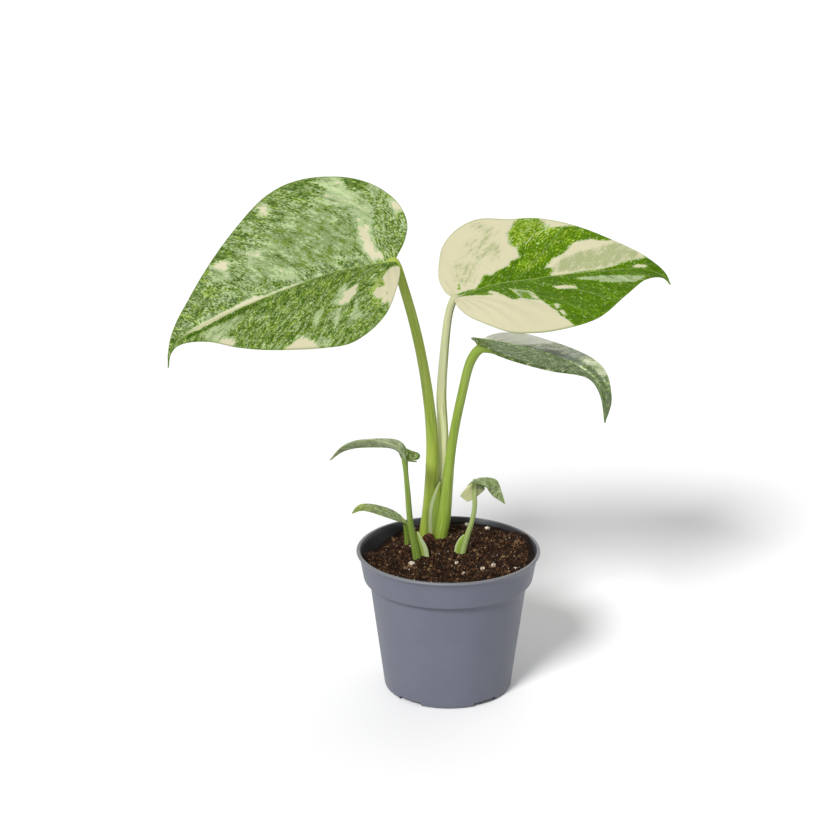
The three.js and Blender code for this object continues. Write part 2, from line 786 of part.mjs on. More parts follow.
function bareBall() {
  const ball = new THREE.IcosahedronGeometry(1, 1);
  ball.deleteAttribute("normal");
  ball.deleteAttribute("uv");
  return ball;
}

const grains = [
  { name: "bark_chip", grain: BARK_CHIP, look: MATERIALS.bark },
  ...PERLITE.map((grain, i) => ({
    name: `perlite_grain_${i + 1}`, grain, look: MATERIALS.perlite,
  })),
];

function makeGrains() {
  for (const { name, grain, look } of grains) addPiece(name, grainGeometry(grain, 0), look);
}

// Soil: fills the pot to an uneven, sloping surface, with a socket for all that stands in it.
const SOIL_LEVEL = POT_HEIGHT - SOIL_DEPTH_BELOW_RIM;

function swell(x, y, place, spread) {
  return Math.exp(-((x - place[0]) ** 2 + (y - place[1]) ** 2) / (2 * spread ** 2));
}

function soilHeight(x, y) {
  const level = SOIL_LEVEL + SOIL_SLOPE_X * x + SOIL_SLOPE_Y * y;
  const mound = SOIL_MOUND_HEIGHT * swell(x, y, SOIL_MOUND_PLACE, SOIL_MOUND_SPREAD);
  const hollow = SOIL_HOLLOW_DEPTH * swell(x, y, SOIL_HOLLOW_PLACE, SOIL_HOLLOW_SPREAD);
  const lumps = SOIL_WAVES.reduce((product, [a, b, c]) => product * Math.sin(a * x + b * y + c), 1);
  return level + mound - hollow + SOIL_ROUGHNESS * lumps;
}

function soilGeometry() {
  const soup = new Soup();
  const at = (r, k, z) => {
    const angle = (2 * Math.PI * k) / SOIL_SECTORS;
    const [x, y] = [r * Math.cos(angle), r * Math.sin(angle)];
    return new THREE.Vector3(x, y, z ?? soilHeight(x, y));
  };
  const floor = PAD_RISE + WALL + GAP;
  const ledge = LEDGE_TOP + GAP;
  const edge = (k) => {
    const nearby = at(bandInside(SOIL_LEVEL) - GAP, k);
    return at(bandInside(nearby.z) - GAP, k);
  };
  const column = (k) => {
    const rim = edge(k);
    const reach = Math.hypot(rim.x, rim.y);
    const top = [];
    for (let i = 1; i < SOIL_RINGS; i += 1) top.push(at((reach * i) / SOIL_RINGS, k));
    return [
      ...top,
      rim,
      at(bandInside(LEDGE_TOP) - GAP, k, ledge),
      at(bodyInside(LEDGE_TOP) - GAP, k, ledge),
      at(bodyInside(floor) - GAP, k, floor),
    ];
  };
  const middle = at(0, 0);
  const under = new THREE.Vector3(0, 0, floor);
  const columns = Array.from({ length: SOIL_SECTORS }, (_, k) => column(k));
  columns.forEach((here, k) => {
    const next = columns[(k + 1) % SOIL_SECTORS];
    const last = here.length - 1;
    soup.triangle(middle, here[0], next[0]);
    for (let i = 0; i < last; i += 1) soup.quad(here[i], here[i + 1], next[i + 1], next[i]);
    soup.triangle(under, next[last], here[last]);
  });
  return soup.geometry();
}

function makeSoil() {
  let body = solid(soilGeometry());
  for (const planted of [...Object.values(STEMS), ...Object.values(SHEATHS)]) {
    body = body.subtract(solid(stemGeometry(planted, GAP)));
  }
  for (const { grain } of grains) body = body.subtract(solid(grainGeometry(grain, GAP)));
  addPiece("soil", geometryOf(body), MATERIALS.soil);
}

makePot();
makeSoil();
makeStems();
makeSheaths();
makeLeaves();
makeGrains();

export default group;
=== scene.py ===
# %% [markdown]
# # A potted variegated monstera
#
# A young aroid with three large leaves, three small ones and a nursery pot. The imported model
# is the frame: it fixes every size and place, in metres with Z up. The cells below put a
# finely modelled piece in the place of each plain one and give it a finish, so this is
# work on surfaces: how veins run, how a mottled leaf is coloured, how soil crumbles.

# %% Load the frame
from math import cos, pi, radians, sin

import bmesh
import bpy
import numpy as np
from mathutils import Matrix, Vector


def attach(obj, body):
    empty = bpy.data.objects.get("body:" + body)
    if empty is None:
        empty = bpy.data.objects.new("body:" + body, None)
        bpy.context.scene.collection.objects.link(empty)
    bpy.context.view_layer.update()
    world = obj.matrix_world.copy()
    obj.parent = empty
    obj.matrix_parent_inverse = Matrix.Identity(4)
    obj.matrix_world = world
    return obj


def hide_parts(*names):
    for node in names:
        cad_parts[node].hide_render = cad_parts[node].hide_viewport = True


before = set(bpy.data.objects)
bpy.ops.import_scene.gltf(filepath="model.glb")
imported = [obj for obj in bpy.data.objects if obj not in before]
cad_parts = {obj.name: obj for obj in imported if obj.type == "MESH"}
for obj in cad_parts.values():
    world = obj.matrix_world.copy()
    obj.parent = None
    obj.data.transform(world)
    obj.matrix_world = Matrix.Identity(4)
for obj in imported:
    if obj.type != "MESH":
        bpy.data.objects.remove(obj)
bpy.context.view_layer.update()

# %% [markdown]
# ## Small tools
#
# Everything on the plant is swept, bent or turned, so the meshes are computed as arrays of
# points in millimetres and turned into Blender meshes by one helper. UV maps and marks
# (named numbers on the vertices) are written at the same time, because the finishes follow
# the veins and stems through them and not through the room.

# %% Mesh pieces, from points in millimetres or from a bmesh
MM = 0.001


def placed(name, data):
    """Puts a mesh, a light or a camera in the scene."""
    piece = bpy.data.objects.new(name, data)
    bpy.context.collection.objects.link(piece)
    return piece


def mesh_piece(name, points, faces, maps=None, marks=None):
    mesh = bpy.data.meshes.new(name)
    mesh.from_pydata((np.asarray(points) * MM).tolist(), [], np.asarray(faces).tolist())
    corners = np.empty(len(mesh.loops), int)
    mesh.loops.foreach_get("vertex_index", corners)
    for title, values in (maps or {}).items():
        layer = mesh.uv_layers.new(name=title)
        layer.data.foreach_set("uv", np.asarray(values, float)[corners].ravel())
    for title, values in (marks or {}).items():
        mark = mesh.attributes.new(title, "FLOAT", "POINT")
        mark.data.foreach_set("value", np.asarray(values, float))
    return placed(name, mesh)


def shape_piece(name, shape):
    mesh = bpy.data.meshes.new(name)
    shape.to_mesh(mesh)
    shape.free()
    return placed(name, mesh)


# %% Closed rings of points, and the faces between them
def round_angles(sides):
    return np.linspace(0, 2 * pi, sides, endpoint=False)


def ring_faces(rings, sides):
    index = np.arange(rings * sides).reshape(rings, sides)
    ahead = np.roll(index, -1, axis=1)
    return np.stack([index[:-1], ahead[:-1], ahead[1:], index[1:]], -1).reshape(-1, 4)


def facing_back(faces):
    return faces[:, [0, 3, 2, 1]]


# %% Weld the seams, smooth the faces, keep real corners sharp
WELD = 2e-6
SHARP_ANGLE = 50


def welded(piece, sharp=SHARP_ANGLE, gap=WELD, sliver=0.0):
    shape = bmesh.new()
    shape.from_mesh(piece.data)
    bmesh.ops.remove_doubles(shape, verts=shape.verts, dist=gap)
    if sliver:
        bmesh.ops.dissolve_degenerate(shape, dist=sliver, edges=shape.edges)
    for face in shape.faces:
        face.smooth = True
    for edge in shape.edges:
        edge.smooth = edge.calc_face_angle(0) < radians(sharp)
    open_edges = sum(not edge.is_manifold for edge in shape.edges)
    shape.to_mesh(piece.data)
    shape.free()
    print(f"{piece.name}: {len(piece.data.polygons)} faces, {open_edges} open edges")
    return piece


# %% Turn a live modifier into a plain mesh
def modifier_applied(piece):
    made = bpy.data.meshes.new_from_object(
        piece.evaluated_get(bpy.context.evaluated_depsgraph_get()))
    piece.modifiers.clear()
    piece.data = made
    return made


# %% Hand a finished piece to the frame
def keep(piece, material, slot, *nodes):
    piece.data.materials.clear()
    piece.data.materials.append(material)
    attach(piece, "root")
    if nodes:
        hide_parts(*nodes)
    return piece


# %% Smooth lines and the frames carried along them
PATH_SAMPLES = 241


def smooth_line(points, samples=PATH_SAMPLES):
    """A rounded line through all the points, sampled evenly between them."""
    p = np.array(points, float)
    p = np.vstack([2 * p[0] - p[1], p, 2 * p[-1] - p[-2]])
    place = np.linspace(0, len(points) - 1, samples)
    i = np.minimum(place.astype(int), len(points) - 2)
    w = (place - i)[:, None]
    before, a, b, after = p[i], p[i + 1], p[i + 2], p[i + 3]
    leave, arrive = (b - before) / 2, (after - a) / 2
    return ((2 * a - 2 * b + leave + arrive) * w**3
            + (3 * b - 3 * a - 2 * leave - arrive) * w**2 + leave * w + a)


def unit(v):
    return v / np.linalg.norm(v, axis=-1, keepdims=True)


def carried_frames(path, reference):
    """Distance, direction, side and normal at each sample, turned as little as possible."""
    steps = np.linalg.norm(np.diff(path, axis=0), axis=1)
    distance = np.concatenate([[0], np.cumsum(steps)])
    direction = unit(np.vstack([path[1] - path[0], path[2:] - path[:-2], path[-1] - path[-2]]))
    side = [np.cross(reference, direction[0])]
    for d in direction:
        carried = side[-1] - np.dot(side[-1], d) * d
        side.append(carried / np.linalg.norm(carried))
    side = np.array(side[1:])
    return distance, direction, side, np.cross(direction, side)


def along(values, share):
    """A value read from an evenly spaced list, at a share of its length."""
    values = np.asarray(values, float)
    return np.interp(share, np.linspace(0, 1, len(values)), values)


def at_distance(distance, wanted, vectors):
    return np.stack([np.interp(wanted, distance, vectors[:, k]) for k in range(3)], -1)


def ease(low, high, value):
    t = np.clip((value - low) / (high - low), 0, 1)
    return t * t * (3 - 2 * t)


# %% [markdown]
# Materials and Geometry Nodes are wired in code. A Wiring holds one tree, and each of its
# methods adds one node, sets its options, and fills or connects its inputs. So each line
# below reads as one step of the tree, under the name that Blender gives the node's work.

# %% Wiring of a node tree
class Wiring:
    def __init__(self, tree):
        self.tree = tree
        self.link = tree.links.new

    def add(self, kind, inputs=None, **options):
        made = self.tree.nodes.new(kind)
        for name, value in options.items():
            setattr(made, name, value)
        for key, value in (inputs or {}).items():
            if isinstance(value, bpy.types.NodeSocket):
                self.link(value, made.inputs[key])
            else:
                made.inputs[key].default_value = value
        return made

    def calc(self, operation, *values):
        inputs = dict(enumerate(values))
        return self.add("ShaderNodeMath", inputs, operation=operation).outputs[0]

    def vector(self, operation, first, second):
        inputs = {0: first, "Scale" if operation == "SCALE" else 1: second}
        return self.add("ShaderNodeVectorMath", inputs, operation=operation).outputs[0]

    def mixed(self, share, first, second):
        inputs = {0: share, 6: first, 7: second}
        return self.add("ShaderNodeMix", inputs, data_type="RGBA").outputs[2]

    def stepped(self, value, low, high, to_low=0.0, to_high=1.0):
        """A soft step from one value to another, between two limits."""
        inputs = {"Value": value, "From Min": low, "From Max": high,
                  "To Min": to_low, "To Max": to_high}
        made = self.add("ShaderNodeMapRange", inputs, interpolation_type="SMOOTHSTEP")
        return made.outputs["Result"]

    def noise(self, place, scale, detail=2.0, rough=0.5):
        inputs = {"Vector": place, "Scale": scale, "Detail": detail, "Roughness": rough}
        return self.add("ShaderNodeTexNoise", inputs).outputs["Fac"]

    def toned(self, colour, value):
        made = self.add("ShaderNodeHueSaturation", {"Value": value, "Color": colour})
        return made.outputs["Color"]

    def place(self):
        return self.add("ShaderNodeTexCoord").outputs["Object"]

    def parts(self, vector):
        return self.add("ShaderNodeSeparateXYZ", {0: vector}).outputs

    def map(self, title):
        return self.add("ShaderNodeUVMap", uv_map=title).outputs[0]

    def mark(self, title):
        return self.add("ShaderNodeAttribute", attribute_name=title).outputs["Fac"]

    def group(self, wiring, inputs):
        return self.add("ShaderNodeGroup", inputs, node_tree=wiring.tree).outputs


# %% Node groups with named inputs and outputs
FLOAT, VECTOR, COLOUR = "NodeSocketFloat", "NodeSocketVector", "NodeSocketColor"


def node_group(name, inputs, outputs, kind="ShaderNodeTree"):
    tree = bpy.data.node_groups.new(name, kind)
    for title, (socket_type, value) in inputs.items():
        socket = tree.interface.new_socket(title, in_out="INPUT", socket_type=socket_type)
        if value is not None:
            socket.default_value = value
    for title, socket_type in outputs.items():
        tree.interface.new_socket(title, in_out="OUTPUT", socket_type=socket_type)
    given = tree.nodes.new("NodeGroupInput").outputs
    return Wiring(tree), given, tree.nodes.new("NodeGroupOutput").inputs


# %% Materials
SRGB_STEP = 10


def tint(red, green, blue):
    """A colour read as 0-255 values, in the linear form that Blender wants."""
    linear = [((c / 255 + 0.055) / 1.055) ** 2.4 if c > SRGB_STEP else c / 255 / 12.92
              for c in (red, green, blue)]
    return (*linear, 1.0)


def new_material(name, specular=0.5):
    material = bpy.data.materials.new(name)
    material.use_nodes = True
    surface = material.node_tree.nodes["Principled BSDF"].inputs
    surface["Specular IOR Level"].default_value = specular
    return material, Wiring(material.node_tree), surface


def finish_surface(net, surface, colour, roughness, height, depth):
    """Connects colour and roughness, and turns a height in 0-1 into a bump of that depth."""
    net.link(colour, surface["Base Color"])
    net.link(roughness, surface["Roughness"])
    bump = net.add("ShaderNodeBump", {"Height": height, "Distance": depth * MM})
    net.link(bump.outputs["Normal"], surface["Normal"])


# %% [markdown]
# ## The camera and the light
#
# The picture is a catalogue view: the camera stands about 1.2 m away, a little above the
# leaves, and looks down by 18 degrees. A long lens from there keeps the pot's sides nearly
# parallel. A wide lens closer in would fit the same frame but would swell the near leaves.

# %% Camera
CAMERA_PLACE = (-0.0185, -1.117, 0.542)
CAMERA_PITCH = 17.8
SENSOR = 36.0
LENS = 78.73

camera = placed("camera", bpy.data.cameras.new("camera"))
camera.data.sensor_width = SENSOR
camera.data.lens = LENS
camera.location = CAMERA_PLACE
camera.rotation_euler = (radians(90 - CAMERA_PITCH), 0, 0)
bpy.context.scene.camera = camera
print("camera: lens", LENS, "mm, pitch", CAMERA_PITCH, "degrees")

# %% [markdown]
# A pale sweep of floor and a sky that whitens towards the horizon, as the walls of a studio
# do, give the white room. One large soft lamp, high on the left in front, draws the faint
# shadow to the right behind the plant, and a weaker and much wider one behind it lifts the
# backs of the leaves. Both are suns with a wide disc, because their light doesn't fall off
# across the floor as an area lamp's does, so the floor stays white out to the horizon.

# %% Floor
FLOOR_REACH = 9.0
FLOOR_COLOUR, FLOOR_ROUGHNESS = (0.81, 0.81, 0.81, 1), 0.9

floor_mesh = bpy.data.meshes.new("floor")
floor_mesh.from_pydata([(x * FLOOR_REACH, y * FLOOR_REACH, 0)
                        for x, y in ((-1, -1), (1, -1), (1, 1), (-1, 1))], [], [(0, 1, 2, 3)])
floor_paint, _, surface = new_material("floor_paint")
surface["Base Color"].default_value = FLOOR_COLOUR
surface["Roughness"].default_value = FLOOR_ROUGHNESS
floor_mesh.materials.append(floor_paint)
floor = placed("floor", floor_mesh)

# %% Lamps and sky
SUNS = {"key": (3.5, 17, (-0.15, -0.27, 0.268)), "lift": (0.8, 75, (0.25, 0.6, 0.47))}
HORIZON_STRENGTH, ZENITH_STRENGTH = 1.0, 0.42
HORIZON_REACH = 0.5

for name, (strength, disc, toward) in SUNS.items():
    lamp = placed(name, bpy.data.lights.new(name, "SUN"))
    lamp.data.energy = strength
    lamp.data.angle = radians(disc)
    lamp.rotation_euler = Vector(toward).to_track_quat("Z", "Y").to_euler()

sky = bpy.data.worlds.new("sky")
sky.use_nodes = True
net = Wiring(sky.node_tree)
height = net.parts(net.add("ShaderNodeTexCoord").outputs["Generated"])["Z"]
backdrop = sky.node_tree.nodes["Background"].inputs
backdrop["Color"].default_value = (1, 1, 1, 1)
net.link(net.stepped(height, 0.0, HORIZON_REACH, HORIZON_STRENGTH, ZENITH_STRENGTH),
         backdrop["Strength"])
bpy.context.scene.world = sky
bpy.context.scene.view_settings.view_transform = "Standard"
print("suns, with strength, disc and place:", SUNS, "zenith:", ZENITH_STRENGTH)

# %% [markdown]
# ## Fine grain, for every surface
#
# No real surface is even: plastic, bark, perlite and soil all vary a little over a few
# millimetres and have a grain under a millimetre. Two noises could be added to each material
# by hand. One group does it for all of them, with the sizes as inputs in millimetres.

# %% Grain group
grain_net, grain_in, grain_out = node_group(
    "grain",
    {"Vector": (VECTOR, None), "Patch size mm": (FLOAT, 8.0), "Grain size mm": (FLOAT, 0.6)},
    {"Patch": FLOAT, "Grain": FLOAT})
for title, roughness in (("Patch", (3.0, 0.5)), ("Grain", (2.0, 0.6))):
    scale = grain_net.calc("DIVIDE", 1 / MM, grain_in[title + " size mm"])
    grain_net.link(grain_net.noise(grain_in["Vector"], scale, *roughness), grain_out[title])


def grain_on(net, patch, fine):
    """The grain group on a piece's own coordinates."""
    return net.group(grain_net, {"Vector": net.place(), "Patch size mm": patch,
                                 "Grain size mm": fine})


# %% [markdown]
# ## The leaves
#
# A leaf of this plant is a flat heart with a midrib, and its side veins leave the midrib and
# fan out of the junction to the margin. It could be sculpted, or a flat grid could be bent
# with lattices. Here each half is described flat, by its outline along the midrib, and bent
# by numbers: how the midrib runs in space, how far the leaf rolls, and how each half folds up
# and curls down. The frame's own leaves were made from such numbers, and the fine ones keep
# them, so they fall exactly in place. Only the folds of the upper small leaf and the outlines
# of the upper and the right one are changed a little.

# %% The six leaves
LEAVES = {
    "leaf_upper_left": {
        "spine": [[-5, 9.5, 290], [-34.5, 12, 284.5], [-66, 14.5, 278.5], [-93, 15, 269.5],
                  [-127.5, 13.5, 256], [-155.5, 10.5, 243.5], [-171.5, 8, 234.5],
                  [-177.5, 6.5, 226], [-178.5, 5.5, 216.5]],
        "roll": [-33, -37], "width": 72,
        "left": {"fold": [20, 20], "curl": [18, 18],
                 "outline": [[0, 0], [-4, 12], [-3, 32], [4, 59], [18, 74], [36, 77.5],
                             [62, 71], [90, 57.5], [112, 42], [130, 21.5], [150, 6]]},
        "right": {"fold": [18, 18], "curl": [2, 2],
                  "outline": [[0, 0], [-8, 14], [-10, 28], [-2, 46], [18, 61.5], [44, 71.5],
                              [66, 69], [90, 54], [114, 35], [138, 15], [154, 2.5]]},
        "grid": (150, 40), "veins": 13, "rib": 2.6,
    },
    "leaf_right": {
        "spine": [[-18.5, 19, 251.5], [3, 22, 258], [27.5, 25.5, 265.5], [52, 29, 268.5],
                  [81, 33, 271.5], [114, 36, 273.5], [128, 37, 272.5], [137.5, 37.5, 269],
                  [143, 37.5, 263]],
        "roll": [19, 29], "width": 62,
        "left": {"fold": [8, 8], "curl": [4, 4],
                 "outline": [[0, 0], [-4, 10], [-3, 27], [8, 52], [28, 66], [48, 60.5],
                             [68, 55.5], [90, 41.5], [112, 23.5], [130, 9]]},
        "right": {"fold": [8, 8], "curl": [16, 16],
                  "outline": [[0, 0], [0, 14], [6, 32], [22, 52], [42, 56.5], [66, 54],
                              [88, 46.5], [108, 28], [124, 12], [138, 2.5]]},
        "grid": (140, 36), "veins": 12, "rib": 2.3,
    },
    "leaf_drooping": {
        "spine": [[2, 15, 237], [19, 8, 231.5], [38.5, 0, 225], [63, -9, 220],
                  [81.5, -15.5, 218.5], [90, -19, 214.5], [95, -23, 204.5], [97, -25, 189.5]],
        "roll": [0, -3], "width": 42,
        "left": {"fold": [5, 12], "curl": [4, 4],
                 "outline": [[0, 0], [0, 16], [6, 32], [18, 43], [36, 43.5], [54, 38],
                             [72, 24], [84, 14], [96, 9]]},
        "right": {"fold": [32, 28], "curl": [0, 0],
                  "outline": [[0, 0], [-4, 8], [4, 19], [14, 30], [27, 38], [43, 43],
                              [55, 41], [65, 29], [73, 14], [84, 6]]},
        "grid": (110, 28), "veins": 11, "rib": 2.6,
    },
    "small_leaf_upper": {
        "spine": [[-16.5, -1, 155.5], [-28.3, -1, 157.4], [-32, -1.5, 163], [-38.5, -2, 166],
                  [-53, -3, 166.5], [-62, -4, 165.8], [-69, -5, 163.5], [-76, -6, 158.4]],
        "roll": [0, 0], "width": 12,
        "left": {"fold": [14, 22, 40, 46, 44, 40], "curl": [0, 4],
                 "outline": [[0, 0], [-4, 0.5], [-7, 2.5], [-7.5, 5.5], [-4, 8], [4, 9],
                             [16, 9], [24, 10.5], [34, 10], [44, 6.5]]},
        "right": {"fold": [30, 8, 6, 6, 4], "curl": [6, 4],
                  "outline": [[0, 0], [-6, 0.6], [-9.2, 2.5], [-9, 6.5], [-4, 8.5], [4, 10],
                              [16, 11.5], [34, 10], [44, 6]]},
        "grid": (64, 12), "veins": 8, "rib": 0.9,
    },
    "small_leaf_lower": {
        "spine": [[-24, 22, 99.5], [-28, 22, 104.5], [-35.5, 21.5, 109.5],
                  [-44.5, 20.5, 113.5], [-53, 19.5, 116], [-58.5, 18.5, 116],
                  [-63.4, 18, 112.8]],
        "roll": [0, 0], "width": 8,
        "left": {"fold": [6, 6], "curl": [8, 8],
                 "outline": [[0, 0], [1, 3], [8, 6.5], [18, 7.5], [28, 6], [36, 2.5]]},
        "right": {"fold": [10, 6], "curl": [8, 8],
                  "outline": [[0, 0], [1, 3], [8, 7], [18, 7.5], [28, 6], [36, 3]]},
        "grid": (56, 10), "veins": 7, "rib": 0.7,
    },
    "small_leaf_right": {
        "spine": [[6, 6, 130.5], [16.8, 5, 140.7], [22, 4, 142.7], [27.5, 3, 142.8],
                  [31.5, 2, 141], [34, 0.8, 134.5], [36.4, -0.5, 126.5]],
        "roll": [0, 0], "width": 12,
        "left": {"fold": [-58, -40, -30, -26], "curl": [16, 10],
                 "outline": [[0, 0], [-8, 0.8], [-14.5, 2.5], [-17, 6.5], [-13, 10.5], [-3, 11.5],
                             [10, 9.5], [20, 5]]},
        "right": {"fold": [16, -8, -28, -40, -44], "curl": [10, 10],
                  "outline": [[0, 0], [-3, 3], [-4, 6], [0, 8], [6, 9], [14, 10], [23, 7]]},
        "grid": (60, 12), "veins": 7, "rib": 0.8,
    },
}
SIGN = {"left": 1, "right": -1}
OTHER = {"left": "right", "right": "left"}

# %% [markdown]
# The midrib's line starts a little behind the junction with the stem, to hold the lobes. The
# junction is at the line's second point, and the leaf's length is measured from there.

# %% Prepare each midrib
for leaf in LEAVES.values():
    path = smooth_line(leaf["spine"])
    leaf["path"] = path
    leaf["track"] = carried_frames(path, (0, 0, 1))
    first = round((PATH_SAMPLES - 1) / (len(leaf["spine"]) - 1))
    leaf["junction"] = leaf["track"][0][first]
    leaf["length"] = leaf["track"][0][-1] - leaf["junction"]
    for half in SIGN:
        leaf[half]["outline"].append([leaf["length"], 0])
print({name: round(leaf["length"], 1) for name, leaf in LEAVES.items()})

# %% [markdown]
# The grid of each half runs along its veins, not straight across: its rows are veins, from
# the midrib or the junction out to the margin. The tissue can then puff up between them, as
# it does in the real leaf, and the faces narrow with the blade towards the tip.

# %% Vein grid of one half, flat
VEIN_FAN, VEIN_SWEEP, VEIN_ARCH = 0.42, 1.5, 0.16
STEP_CROWDING = 1.35


def vein_grid(leaf, half):
    rows, steps = leaf["grid"]
    u = np.linspace(0, 1, rows + 1)[:, None]
    share = (np.linspace(0, 1, steps + 1) ** STEP_CROWDING)[None, :]
    margin = smooth_line([[*p, 0] for p in leaf[half]["outline"]], rows + 1)
    start = leaf["length"] * np.maximum(0, (u - VEIN_FAN) / (1 - VEIN_FAN)) ** VEIN_SWEEP
    end_x, end_y = margin[:, :1], margin[:, 1:2]
    x = start + (end_x - start) * share + VEIN_ARCH * end_y * 2 * share * (1 - share)
    return np.minimum(x, leaf["length"]), end_y * share, u + 0 * share, share + 0 * u


# %% Bend flat points into place
RIDGE_BLEND = 2.5
NEARLY_FLAT = 1e-7


def bent(leaf, half, x, y):
    """Place and outward normal of flat points on one half of a leaf."""
    distance, _, side, normal = leaf["track"]
    wanted = leaf["junction"] + x
    place = at_distance(distance, wanted, leaf["path"])
    side = unit(at_distance(distance, wanted, side))
    normal = unit(at_distance(distance, wanted, normal))
    share = np.clip(x / leaf["length"], 0, 1)
    roll = np.radians(along(leaf["roll"], share))[..., None]
    side, normal = (side * np.cos(roll) + normal * np.sin(roll),
                    normal * np.cos(roll) - side * np.sin(roll))
    shape = leaf[half]
    fold = np.radians(along(shape["fold"], share))
    other = np.radians(along(leaf[OTHER[half]]["fold"], share))
    curl = np.radians(along(shape["curl"], share)) / leaf["width"] + NEARLY_FLAT
    angle = fold - curl * y
    out = (np.sin(fold) - np.sin(angle)) / curl
    rise = (np.cos(angle) - np.cos(fold)) / curl
    sign = SIGN[half]
    point = place + sign * out[..., None] * side + rise[..., None] * normal
    ridge = (fold - other) / 2 + 0 * y
    facing = (ridge + (angle - ridge) * ease(0, RIDGE_BLEND, y))[..., None]
    return point, normal * np.cos(facing) - side * sign * np.sin(facing)


# %% [markdown]
# A living leaf isn't a smooth sheet. The tissue puffs up a little between the side veins,
# the whole blade undulates, the midrib is a channel above and a strong round rib beneath, and
# the blade thins to its margin. These are added along the surface's normal, and separately
# for the two faces, so that the leaf is one closed body with a real thickness.

# %% Relief of the upper and lower faces, in millimetres
HALF_THICK_RIB, HALF_THICK_MARGIN, THINNING = 0.45, 0.26, 1.5
QUILT, WAVE = 0.0042, 0.0075
WAVES_ALONG, WAVES_ACROSS, WAVE_START = 4.1, 5.2, 0.8
CHANNEL_DEPTH, CHANNEL_WIDTH, CHANNEL_LEAST = 0.22, 0.5, 0.2
RIB_DEPTH, RIB_WIDTH, RIB_TAPER = 0.75, 0.62, 1.6
TIP_TAPER, MIDDLE_SPREAD = 0.7, 0.8


def relief(leaf, x, y, u, share):
    length, width, rib = leaf["length"], leaf["width"], leaf["rib"]
    fade = np.clip(1 - x / length, 0, 1) ** TIP_TAPER
    middle = np.sin(pi * np.clip(share, 0, 1)) ** MIDDLE_SPREAD
    puff = QUILT * width * np.cos(2 * pi * leaf["veins"] * u) * middle
    puff += (WAVE * width * np.sin(WAVES_ALONG * x / width + WAVE_START)
             * np.sin(WAVES_ACROSS * y / width) * middle)
    half = HALF_THICK_RIB + (HALF_THICK_MARGIN - HALF_THICK_RIB) * share**THINNING
    channel_width = CHANNEL_WIDTH * rib + CHANNEL_LEAST
    channel = CHANNEL_DEPTH * rib * np.exp(-(y / channel_width) ** 2) * fade
    ahead = np.where(x < 0, np.exp(-(x / rib) ** 2), 1.0)
    keel = rib * RIB_DEPTH * np.exp(-(y / (RIB_WIDTH * rib)) ** 2) * fade**RIB_TAPER * ahead
    return puff + half - channel, puff - half - keel


# %% [markdown]
# ## Mottling by drawn patches
#
# The variegation has two layers. Where the pale outer tissue lies over green, the leaf is
# silvery grey-green, and where the tissue beneath is pale too, it is cream. So each leaf
# carries two marks: "veil" for the outer layer and "pale" for the inner one. A positive mark
# means certain, a negative one means never, and near 0 the fine noise in the material
# decides. A third mark, "stain", is a thin grey-green shade over cream. The large patches
# that tell one leaf from another are drawn here, flat, in millimetres from the junction: x
# along the midrib and y to the left of it.

# %% Kinds of tissue: veil, pale, stain
RAGGED, TORN = 2.6, 1.1
CREAM = (3.0, 3.2, 0.0)
STAINED = (3.0, 3.2, 0.45)
GREY_WEDGE = (3.0, 3.2, 0.72)
SILVER = (1.5, -0.6, 0.0)
PALE_SILVER = (1.6, 0.75, 0.0)
FAINT = (1.2, 0.55, 0.0)
GREEN = (-1.3, -1.2, 0.0)
SPECKLED = (-0.9, 0.0, 0.0)
YELLOW = (-0.9, 0.5, 0.0)

